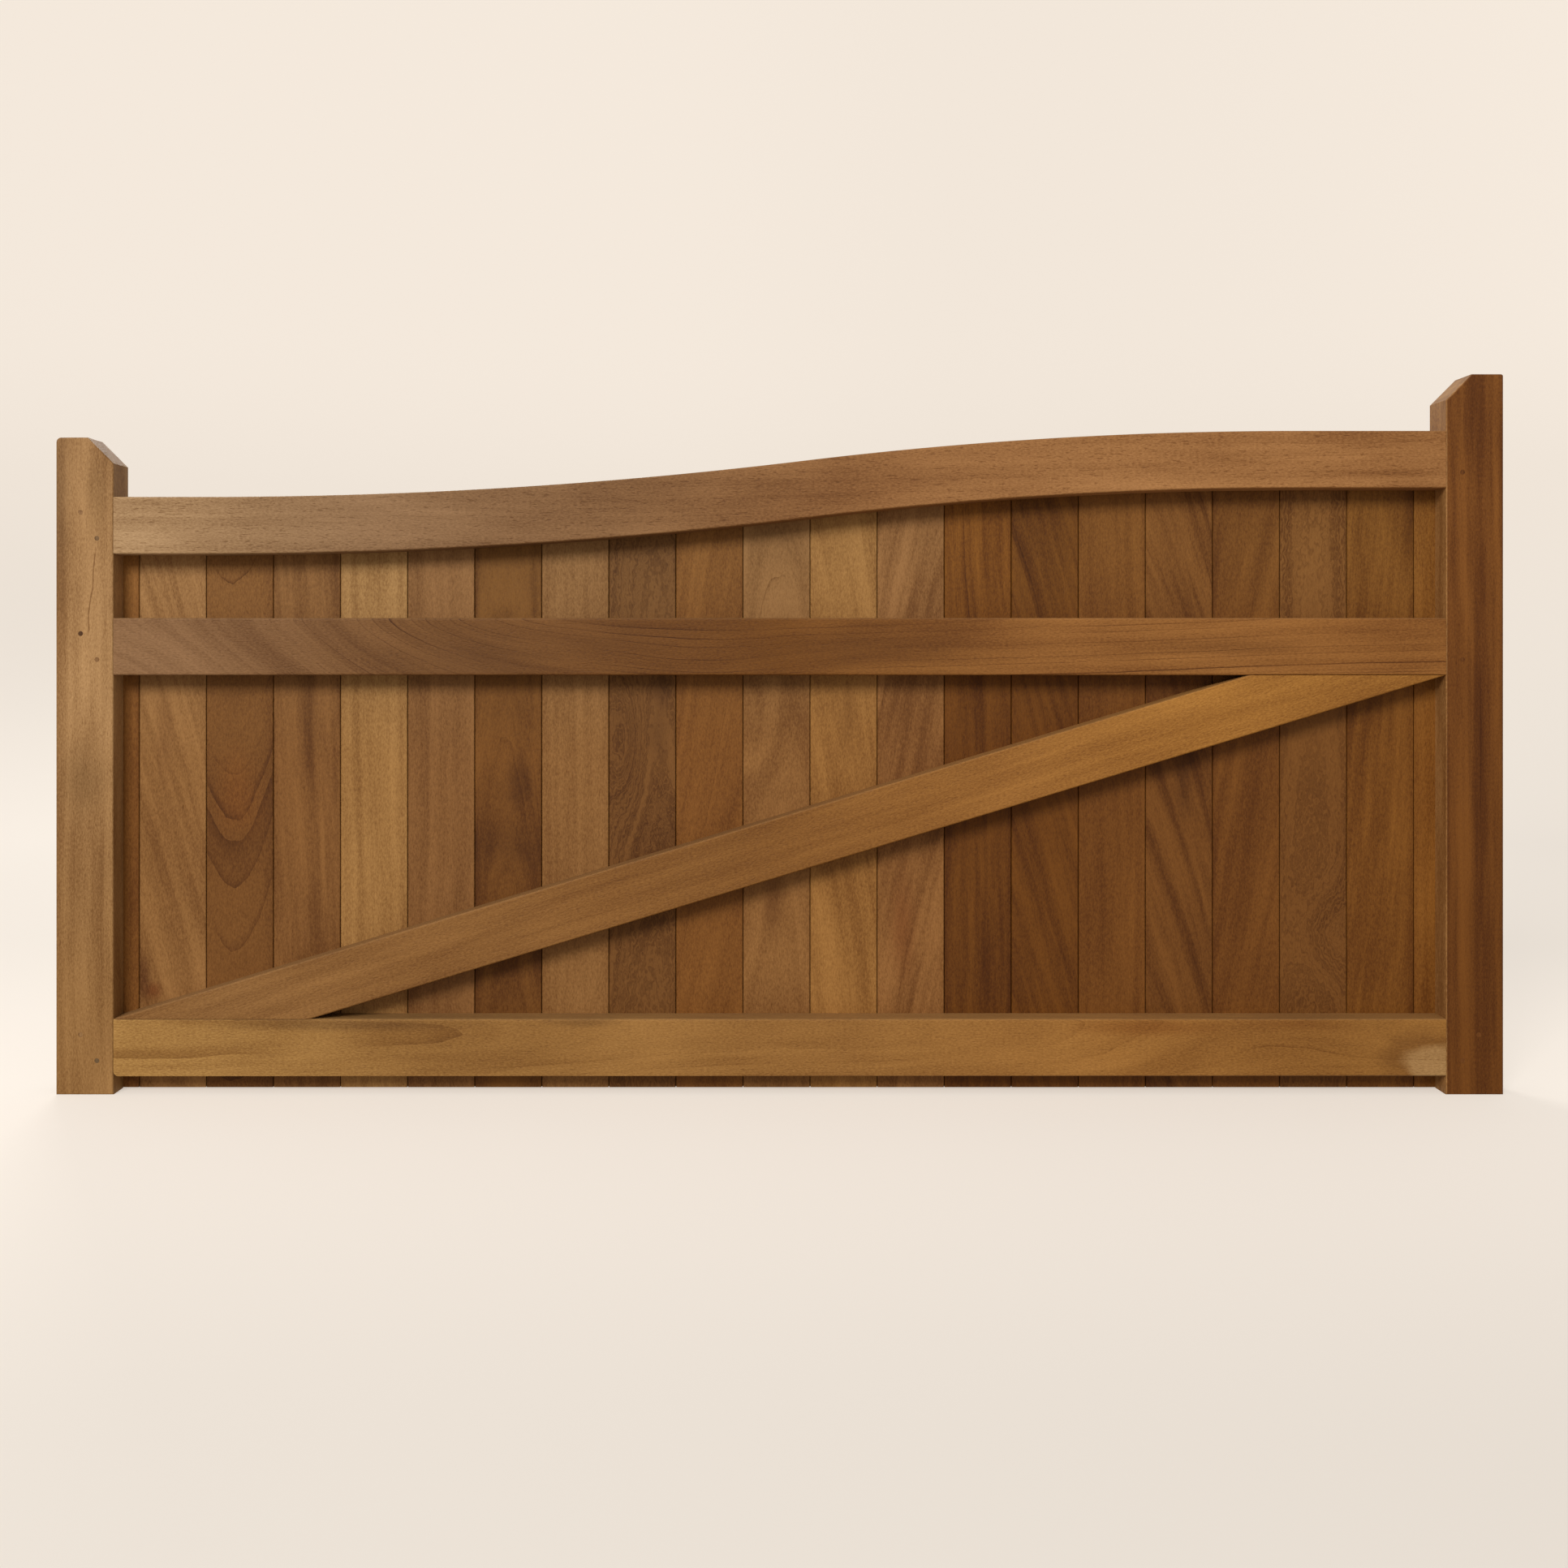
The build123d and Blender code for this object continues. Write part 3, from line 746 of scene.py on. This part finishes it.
brace_iroko = timber(
    "brace_iroko", "brace",
    [(-1.0, (0.232, 0.108, 0.031)), (0.0, (0.222, 0.093, 0.02)), (0.4, (0.287, 0.121, 0.025)),
     (0.75, (0.34, 0.146, 0.027)), (1.0, (0.31, 0.132, 0.024))],
    lie=pi / 2 - brace_lean, heart=(0.2, 0.08), drift=0.008, ring=0.02, wander=0.04, seed=6.6, bands=0.2,
    lines=0.12, patches=0.35,
)
set_down(make_brace(), brace_iroko, "brace")


# ---- Boards --------------------------------------------------------------------------------------------
# Twenty-one tongued and grooved boards, 20 mm thick, vee-jointed on the outer side and butted plain on
# the side that shows the rails. They were picked at random from the stack, so their tones are mixed. Their
# heads are rebated into the top rail's groove, and a cut board at each end is rebated into the stile's.

BOARDS = 21
BOARD_GAP = 0.0012
TONGUE_LENGTH = 0.0065
TONGUE_THICKNESS = 0.007
TONGUE_END_SLACK = 0.001
SEAM_VEE = 0.004
SEAM_ARRIS = 0.0007
HEAD_HOUSED = 0.011
EDGE_HOUSED = 0.011
NAIL_RADIUS = 0.0014
NAIL_LENGTH = 0.050
NAIL_HEAD_RADIUS = 0.003
NAIL_HEAD_THICKNESS = 0.0012
NAIL_SPREAD = 0.028
SINK_SIDES = 16

board_middle = (board_front + board_back) / 2
tongue_low, tongue_high = board_middle - TONGUE_THICKNESS / 2, board_middle + TONGUE_THICKNESS / 2


def board_faces(number):
    """The left and right faces of a board, without its tongue or what is housed in a stile."""
    low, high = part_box(f"board_{number:02d}")
    left = low.x + (EDGE_HOUSED if number == 1 else TONGUE_LENGTH)
    return left, high.x - (EDGE_HOUSED if number == BOARDS else 0)


def nail_columns(number):
    """Where the nails stand in a board: two, or one in a cut board."""
    left, right = board_faces(number)
    middle = (left + right) / 2
    return [middle] if number in (1, BOARDS) else [middle - NAIL_SPREAD, middle + NAIL_SPREAD]


def nail_rows(number):
    """The place of each nail in a board by the member that it holds."""
    columns = nail_columns(number)
    middle_z = sum(box.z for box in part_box("middle_rail")) / 2
    bottom_z = sum(box.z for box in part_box("bottom_rail")) / 2
    reach = NAIL_HEAD_RADIUS + 0.002
    on_brace = [x for x in columns if brace_low.z + reach < brace_middle(x) < brace_high.z - reach]
    return {
        "nails_middle_rail": [(x, middle_z) for x in columns],
        "nails_bottom_rail": [(x, bottom_z) for x in columns],
        "nails_brace": [(x, brace_middle(x)) for x in on_brace],
    }


def nail_sink(x, z):
    """The hole that a nail and its head make in a board."""
    sink = rod(x, board_back, z, NAIL_HEAD_RADIUS, 2 * NAIL_HEAD_THICKNESS, SINK_SIDES)
    bpy.ops.object.mode_set(mode="EDIT")
    pick(sink, "faces", lambda f: f.normal.y < -0.9)
    bpy.ops.mesh.inset(thickness=NAIL_HEAD_RADIUS - NAIL_RADIUS)
    draw_out(y=board_front - board_back - OVERRUN)
    bpy.ops.object.mode_set(mode="OBJECT")
    return sink


def make_board(number):
    """A board made from its moulded section, cut to the sweep at its head, and nailed."""
    name = f"board_{number:02d}"
    low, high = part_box(name)
    left, right = board_faces(number)
    bpy.ops.object.select_all(action="DESELECT")
    size = Vector((right - left, board_back - board_front, 1))
    bpy.ops.mesh.primitive_plane_add(size=1, location=((left + right) / 2, board_middle, low.z))
    board = bpy.context.object
    board.name = board.data.name = name + "_timber"
    board.scale = size
    bpy.ops.object.transform_apply(location=True, rotation=True, scale=True)
    bpy.ops.object.mode_set(mode="EDIT")
    for y in (tongue_low, groove_back, tongue_high):
        bpy.ops.mesh.select_all(action="SELECT")
        scribe((0, y, 0), (0, 1, 0))

    def edge_strip(face_x, y_low, y_high):
        """Tests for an edge of the section at one side, between two depths."""

        def test(edge):
            y = (edge.verts[0].co.y + edge.verts[1].co.y) / 2
            return all(abs(v.co.x - face_x) < 1e-5 for v in edge.verts) and y_low < y < y_high

        return test

    if number == 1:
        pick(board, "edges", edge_strip(left, board_front, groove_back))
        draw_out(x=-EDGE_HOUSED)
    else:
        pick(board, "edges", edge_strip(left, tongue_low, tongue_high))
        draw_out(x=-TONGUE_LENGTH)
    if number == BOARDS:
        pick(board, "edges", edge_strip(right, board_front, groove_back))
        draw_out(x=EDGE_HOUSED)
    else:
        slot_x = right - TONGUE_LENGTH + BOARD_GAP - TONGUE_END_SLACK
        pick(board, "faces", lambda f: tongue_low < f.calc_center_median().y < tongue_high)
        scribe((slot_x, 0, 0), (1, 0, 0))

        def in_slot(face):
            spot = face.calc_center_median()
            return spot.x > slot_x and tongue_low < spot.y < tongue_high

        pick(board, "faces", in_slot)
        bpy.ops.mesh.delete(type="FACE")

    def corner(y):
        sides = [x for x, last in ((left, 1), (right, BOARDS)) if number != last]
        return lambda v: abs(v.co.y - y) < 1e-5 and any(abs(v.co.x - x) < 1e-5 for x in sides)

    for y, width in ((board_back, SEAM_VEE), (board_front, SEAM_ARRIS)):
        pick(board, "verts", corner(y))
        bpy.ops.mesh.bevel(offset=width * 2**0.5, offset_type="OFFSET", segments=1, affect="VERTICES")

    bpy.ops.mesh.select_mode(type="FACE")
    bpy.ops.mesh.select_all(action="SELECT")
    draw_out(z=1.0)
    head = low.z + 1.0

    def is_housed(face):
        return all(v.co.z > head - 1e-4 for v in face.verts) and face.calc_center_median().y < groove_back

    pick(board, "faces", is_housed)
    draw_out(z=HEAD_HOUSED)
    shape = bmesh.from_edit_mesh(board.data)
    for point in shape.verts:
        if point.co.z > head - 1e-4:
            x = max(-opening_half, min(opening_half, point.co.x))
            point.co.z += sweep_height(x, FACE) - head
    bmesh.update_edit_mesh(board.data)
    bpy.ops.mesh.select_all(action="SELECT")
    bpy.ops.mesh.normals_make_consistent(inside=False)
    cut(board, *[nail_sink(x, z) for row in nail_rows(number).values() for x, z in row])
    return board


STRAW, HONEY, TAN = (0.29, 0.142, 0.040), (0.27, 0.12, 0.028), (0.235, 0.107, 0.030)
CHESTNUT, RUSSET, WALNUT = (0.18, 0.067, 0.012), (0.152, 0.053, 0.008), (0.118, 0.038, 0.004)
# The gain on a board's tone in its upper part is painted light, which that field catches more of.
UPPER_LIGHT_GAIN = (1.18, 1.32, 1.6)
EVEN_LIGHT_UP_TO, UPPER_LIGHT_FROM = 0.1, 0.42
SEED_STEP = 11.3

# For each board: its tone, how much more painted light its upper part takes than the rest, where its log's
# pith was, how fast the rings drift along it, and what else shows.
# edges put painted shade along a board's sides, at its seams.
BOARD_LOGS = [
    dict(tone=CHESTNUT, upper_light=1.1, heart=(0.20, 0.05), drift=0.01),
    dict(tone=TAN, upper_light=1.08, heart=(0.12, 0.05), drift=0.26, ring=0.02, bands=0.3, streaks=0.4,
         lines=0.2,
         stains=((-0.27, -0.046, 0.03, 0.010, 0.9, (0.62, 0.52, 0.48)),
                 (-0.29, -0.03, 0.012, 0.012, 0.9, (0.8, 0.6, 0.5)),
                 (0.14, -0.01, 0.07, 0.012, 0.9, (0.84, 0.8, 0.78)))),
    dict(tone=(0.158, 0.062, 0.013), upper_light=1.15, heart=(0.006, 0.19), drift=-0.09, ring=0.011,
         bands=0.1, lines=0.5, streaks=0.25, patches=0.3, wander=0.018, edges=(0.0, 0.08),
         stains=((0.04, 0.0, 0.05, 0.03, 0.9, (1.18, 1.1, 1.0)),)),
    dict(tone=(0.18, 0.074, 0.018), heart=(0.12, 0.06), drift=0.03, streaks=0.6, patches=0.4, lines=0.15,
         stains=((0.20, 0.005, 0.10, 0.012, 0.9, (0.82, 0.79, 0.77)),)),
    dict(tone=STRAW, heart=(0.28, 0.02), drift=0.004, streaks=0.25, patches=0.35, lines=0.05),
    dict(tone=(0.19, 0.081, 0.022), heart=(0.18, 0.10), drift=0.01, lines=0.05, patches=0.35, curl=0.05),
    dict(tone=(0.143, 0.053, 0.009), upper_light=0.88, heart=(0.0, 0.05), drift=0.06, lines=0.2, streaks=1.0,
         edges=(0.12, 0.0),
         stains=((0.05, 0.02, 0.03, 0.02, 0.9, (0.7, 0.66, 0.64)),
                 (-0.06, 0.0, 0.03, 0.05, 0.9, (0.8, 0.78, 0.78)))),
    dict(tone=TAN, upper_light=0.92, heart=(0.26, 0.03), drift=0.005, bands=0.2, streaks=0.2, lines=0.05,
         patches=0.35),
    dict(tone=(0.122, 0.047, 0.010), upper_light=0.9, heart=(-0.02, 0.06), drift=0.05, curl=0.22, lines=0.1,
         swells=((0.11, -0.03, 0.10, 0.03, 0.06),),
         stains=((0.20, 0.035, 0.03, 0.014, 0.9, (0.7, 0.66, 0.64)),
                 (0.12, 0.03, 0.03, 0.014, 0.9, (0.75, 0.72, 0.7)))),
    dict(tone=CHESTNUT, upper_light=0.9, heart=(-0.08, 0.05), drift=0.12, ring=0.008, bands=0.2, lines=0.35,
         patches=0.35),
    dict(tone=(0.23, 0.101, 0.027), upper_light=0.8, heart=(0.0, 0.07), drift=0.08, lines=0.35,
         swells=((0.12, -0.02, 0.12, 0.04, 0.03),),
         stains=((-0.16, -0.005, 0.05, 0.016, 0.8, (0.72, 0.66, 0.62)),)),
    dict(tone=HONEY, upper_light=0.92, heart=(0.10, 0.06), drift=0.12, patches=0.35, lines=0.12,
         stains=((0.13, 0.01, 0.05, 0.010, 0.9, (0.78, 0.74, 0.7)),)),
    dict(tone=(0.22, 0.092, 0.024), upper_light=0.92, heart=(-0.12, 0.05), drift=0.17, ring=0.02, bands=0.28,
         streaks=0.6, lines=0.15,
         stains=((-0.22, -0.01, 0.07, 0.018, 0.9, (0.78, 0.66, 0.6)),)),
    dict(tone=WALNUT, upper_light=1.3, heart=(0.20, 0.06), drift=0.02, streaks=0.75, edges=(0.0, 0.08)),
    dict(tone=WALNUT, upper_light=1.0, heart=(0.10, 0.05), drift=0.25, ring=0.02, bands=0.34, streaks=0.75),
    dict(tone=RUSSET, heart=(0.12, 0.10), drift=0.02, lines=0.05, streaks=0.35, patches=0.35),
    dict(tone=(0.136, 0.048, 0.008), upper_light=1.1, heart=(0.10, 0.05), drift=0.28, ring=0.026, bands=0.36,
         streaks=0.75, lines=0.3, stains=((0.02, 0.012, 0.06, 0.012, 0.9, (0.66, 0.62, 0.62)),)),
    dict(tone=RUSSET, upper_light=0.95, heart=(-0.10, 0.05), drift=0.15, lines=0.1, edges=(0.10, 0.0)),
    dict(tone=(0.125, 0.045, 0.008), upper_light=1.08, heart=(0.0, 0.05), drift=0.03, curl=0.2, lines=0.1,
         bands=0.15, swells=((-0.25, 0.03, 0.08, 0.06, 0.05),)),
    dict(tone=(0.168, 0.060, 0.008), upper_light=0.95, heart=(-0.12, 0.05), drift=0.08, streaks=0.5,
         lines=0.1, edges=(0.0, 0.16)),
    dict(tone=(0.195, 0.071, 0.010), heart=(0.20, 0.05), drift=0.01, lines=0.1),
]

for number, log in enumerate(BOARD_LOGS, start=1):
    name = f"board_{number:02d}"
    tone, upper_light_gain = log.pop("tone"), log.pop("upper_light", 1.0)
    # Each board's upper part gets a paler, bluer tone: painted light, as that field catches more of the lamp.
    upper_lit_tone = [part * more * upper_light_gain for part, more in zip(tone, UPPER_LIGHT_GAIN)]
    tones = [(EVEN_LIGHT_UP_TO, tone), (UPPER_LIGHT_FROM, upper_lit_tone)]
    board_iroko = timber(name + "_iroko", name, tones, seed=SEED_STEP * number, **log)
    set_down(make_board(number), board_iroko, name)


# ---- Tenon pegs ----------------------------------------------------------------------------------------
# Twelve 8 mm dowels that pin the tenons, driven through each stile and cut off just below its face.
# Those in the closing stile have gone as dark as the stile, and the others are paler.

PEG_SUNK = 0.0004
PEG_ARRIS = 0.0006
DARK_PEG = (0.132, 0.044, 0.008)
MARK_SIZE = 0.010

# The pegs of the hanging stile, a low and a high one for each rail. The fourth peg is painted almost black:
# painted shade, standing for a hole that is open.
PALE_PEGS = (
    (0.175, 0.098, 0.043), (0.29, 0.156, 0.065), (0.265, 0.137, 0.053),
    (0.095, 0.042, 0.015), (0.125, 0.072, 0.031), (0.26, 0.135, 0.05),
)


def gather(pieces, name):
    """Makes one piece of many, and gives it that name."""
    clear_bench()
    for piece in pieces:
        piece.select_set(True)
    bpy.context.view_layer.objects.active = pieces[0]
    bpy.ops.object.join()
    bpy.ops.object.transform_apply(location=True, rotation=True, scale=True)
    pieces[0].name = pieces[0].data.name = name
    return pieces[0]


def make_peg(x, z):
    peg = rod(x, 0, z, PEG_RADIUS, frame_back - frame_front - 2 * PEG_SUNK, PEG_SIDES)
    bpy.ops.object.mode_set(mode="EDIT")
    pick(peg, "faces", lambda f: abs(f.normal.y) > 0.9)
    bpy.ops.mesh.inset(thickness=PEG_ARRIS)
    for side in (-1, 1):
        pick(peg, "faces", lambda f: f.normal.y * side > 0.9 and len(f.verts) > 4)
        bpy.ops.transform.translate(value=(0, side * PEG_ARRIS / 3, 0))
    bpy.ops.object.mode_set(mode="OBJECT")
    return peg


peg_middle = sum(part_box("tenon_pegs"), Vector()) / 2
pale_marks = []
for (x, z), tone in zip(peg_places(-1), PALE_PEGS):
    paler = [part / dark for part, dark in zip(tone, DARK_PEG)]
    pale_marks.append((z - peg_middle.z, x - peg_middle.x, MARK_SIZE, MARK_SIZE, 0.1, paler))
dowel_timber = timber(
    "dowel_timber", "tenon_pegs", [(0, DARK_PEG)], heart=(0.0, 0.0), ring=0.003, seed=4.4,
    stains=pale_marks,
)
pegs = gather([make_peg(x, z) for side in (-1, 1) for x, z in peg_places(side)], "peg_dowels")
set_down(pegs, dowel_timber, "tenon_pegs")


# ---- Tenon wedges --------------------------------------------------------------------------------------
# Twelve thin wedges driven beside the tenons from the stiles' outer edges, and planed flush.

wedge_timber = timber(
    "wedge_timber", "tenon_wedges", [(0, (0.2, 0.095, 0.03))], lie=pi / 2, heart=(0.1, 0.1), seed=9.2
)
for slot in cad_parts["tenon_wedges"].material_slots:
    slot.material = wedge_timber


# ---- Nails ---------------------------------------------------------------------------------------------
# Stainless ring-shank nails from the outer side, two to a board at each rail and at the brace. Each is
# punched level with the board, with a slightly domed head.

NAIL_SIDES = 12
NAIL_DOME = 0.0004
DOME_INSET = 0.35 * NAIL_HEAD_RADIUS
RING_STEPS = 5
RING_GRIP = 0.86
POINT = 0.15
SCUFFS = (900, 900, 900)
SCUFFED_STEEL, CLEAN_STEEL = (0.32, 0.30, 0.27), (0.62, 0.61, 0.58)

nail_steel = bpy.data.materials.new("nail_stainless")
nail_steel.use_nodes = True
steel = nail_steel.node_tree
steel.nodes.clear()
scuffs = noise(steel, node(steel, "TexCoord", {}).outputs["Object"], SCUFFS, 3)
dulled = ramp(steel, scuffs, ((0.0, SCUFFED_STEEL), (1.0, CLEAN_STEEL)))
rubbed = maths(steel, "MULTIPLY_ADD", scuffs, 0.3, 0.25)
steel_surface = node(steel, "BsdfPrincipled", {"Base Color": dulled, "Metallic": 1.0, "Roughness": rubbed})
steel.links.new(steel_surface.outputs[0], steel.nodes.new("ShaderNodeOutputMaterial").inputs["Surface"])


def make_nail():
    """One nail at the origin of X and Z, lying along Y with its head at the boards' outer face."""
    head_middle = board_back - NAIL_HEAD_THICKNESS / 2
    nail = rod(0, head_middle, 0, NAIL_HEAD_RADIUS, NAIL_HEAD_THICKNESS, NAIL_SIDES)
    bpy.ops.object.mode_set(mode="EDIT")
    pick(nail, "faces", lambda f: f.normal.y > 0.9)
    bpy.ops.mesh.inset(thickness=DOME_INSET)
    bpy.ops.transform.translate(value=(0, NAIL_DOME, 0))
    pick(nail, "faces", lambda f: f.normal.y < -0.9)
    bpy.ops.mesh.inset(thickness=NAIL_HEAD_RADIUS - NAIL_RADIUS)
    step_length = (NAIL_LENGTH - NAIL_HEAD_THICKNESS) / (RING_STEPS + 1)
    grips = [RING_GRIP if step % 2 else 1 / RING_GRIP for step in range(RING_STEPS)]
    for grip in (*grips, POINT):
        draw_out(y=-step_length)
        bpy.ops.transform.resize(value=(grip, 1, grip))
    bpy.ops.object.mode_set(mode="OBJECT")
    return nail


first_nail = make_nail()
for row in ("nails_middle_rail", "nails_bottom_rail", "nails_brace"):
    driven = []
    for number in range(1, BOARDS + 1):
        for x, z in nail_rows(number)[row]:
            nail = first_nail.copy()
            nail.data = first_nail.data.copy()
            bpy.context.collection.objects.link(nail)
            nail.location = (x, 0, z)
            driven.append(nail)
    set_down(gather(driven, row + "_steel"), nail_steel, row)
bpy.data.objects.remove(first_nail)


# ---- Studio --------------------------------------------------------------------------------------------
# A round pale studio: a level floor that curves up into its wall all the way round, open to a soft sky,
# with a large soft lamp high on the left in front of the gate and a weaker one behind it.

FLOOR_RADIUS = 4.6
COVE_RADIUS = 1.6
COVE_STEPS = 12
WALL_HEIGHT = 5.0
PAPER, PAPER_WARMTH = (0.40, 0.375, 0.34, 1), (1.0, 0.90, 0.80, 1)

# The paper glows a little, more at the gate's feet and up the wall: along an axis, from, to, and by how much.
LEAST_GLOW = 0.38
PAPER_GLOW = (
    ("Y", -1.8, -0.2, 0.16), ("Y", -0.1, 1.6, -0.09), ("Z", 0.0, 2.4, 0.135), ("X", -0.6, 1.2, -0.02)
)
SKY = ((0.3, (0.42, 0.36, 0.30)), (0.5, (0.50, 0.48, 0.455)), (0.8, (0.60, 0.595, 0.59)))
LAMP_SIZE = 3.7
LAMPS = (
    ("key_lamp", (-3.0, -8.8, 6.1), 820, (1.0, 0.975, 0.94)),
    ("back_lamp", (-3.4, 8.6, 6.2), 420, (1.0, 0.975, 0.95)),
)
CAMERA_PLACE = (-0.0548, -2.822, 0.7398)
LENS, SENSOR = 38.6, 36
SHIFT_ASIDE, SHIFT_UP = 0.0238, -0.0864

bpy.ops.object.select_all(action="DESELECT")
bpy.ops.mesh.primitive_circle_add(vertices=128, radius=FLOOR_RADIUS, fill_type="NOTHING")
studio = bpy.context.object
studio.name = "studio_floor"
bpy.ops.object.mode_set(mode="EDIT")
pick(studio, "edges", lambda e: True)
radius = FLOOR_RADIUS
for step in range(1, COVE_STEPS + 1):
    turn, before = pi / 2 * step / COVE_STEPS, pi / 2 * (step - 1) / COVE_STEPS
    draw_out(z=COVE_RADIUS * (cos(before) - cos(turn)))
    wider = FLOOR_RADIUS + COVE_RADIUS * sin(turn)
    bpy.ops.transform.resize(value=(wider / radius, wider / radius, 1))
    radius = wider
draw_out(z=WALL_HEIGHT - COVE_RADIUS)
pick(studio, "edges", lambda e: all(v.co.z < 1e-6 for v in e.verts))
bpy.ops.mesh.edge_face_add()
bpy.ops.mesh.select_all(action="SELECT")
bpy.ops.mesh.normals_make_consistent(inside=True)
bpy.ops.object.mode_set(mode="OBJECT")
bpy.ops.object.shade_smooth_by_angle(angle=radians(40))
paper = bpy.data.materials.new("studio_paper")
paper.use_nodes = True
paper_surface = paper.node_tree.nodes["Principled BSDF"]
paper_surface.inputs["Base Color"].default_value = PAPER
paper_surface.inputs["Roughness"].default_value = 0.9
paper_surface.inputs["Specular IOR Level"].default_value = 0.1
paper_surface.inputs["Emission Color"].default_value = PAPER_WARMTH
spot = node(paper.node_tree, "SeparateXYZ", {0: node(paper.node_tree, "TexCoord", {}).outputs["Object"]})
glow = LEAST_GLOW
for axis, start, end, gain in PAPER_GLOW:
    reach = {"Value": spot.outputs[axis], "From Min": start, "From Max": end, "To Max": gain}
    lift = node(paper.node_tree, "MapRange", reach, interpolation_type="SMOOTHSTEP")
    glow = maths(paper.node_tree, "ADD", lift.outputs[0], glow)
paper.node_tree.links.new(glow, paper_surface.inputs["Emission Strength"])
studio.data.materials.append(paper)
studio.visible_diffuse = False
studio.visible_glossy = False
studio.visible_shadow = False

sky = bpy.data.worlds.new("soft_sky")
sky.use_nodes = True
heaven = sky.node_tree
looked = node(heaven, "SeparateXYZ", {0: node(heaven, "TexCoord", {}).outputs["Generated"]})
height = node(heaven, "MapRange", {"Value": looked.outputs["Z"], "From Min": -1.0}).outputs[0]
glow = ramp(heaven, height, SKY)
heaven.links.new(glow, heaven.nodes["Background"].inputs["Color"])
bpy.context.scene.world = sky

gate_middle = (cad_low + cad_high) / 2
for name, place, power, colour in LAMPS:
    light = bpy.data.lights.new(name, "AREA")
    light.shape, light.size, light.energy, light.color = "SQUARE", LAMP_SIZE, power, colour
    lamp = bpy.data.objects.new(name, light)
    lamp.location = place
    lamp.rotation_euler = (gate_middle - Vector(place)).to_track_quat("-Z", "Y").to_euler()
    lamp.visible_camera = False
    bpy.context.collection.objects.link(lamp)

eye = bpy.data.cameras.new("camera")
eye.lens, eye.sensor_width = LENS, SENSOR
eye.shift_x, eye.shift_y = SHIFT_ASIDE, SHIFT_UP
camera = bpy.data.objects.new("camera", eye)
camera.location = CAMERA_PLACE
camera.rotation_euler = (pi / 2, 0, 0)
bpy.context.collection.objects.link(camera)
bpy.context.scene.camera = camera
bpy.context.scene.view_settings.view_transform = "Standard"
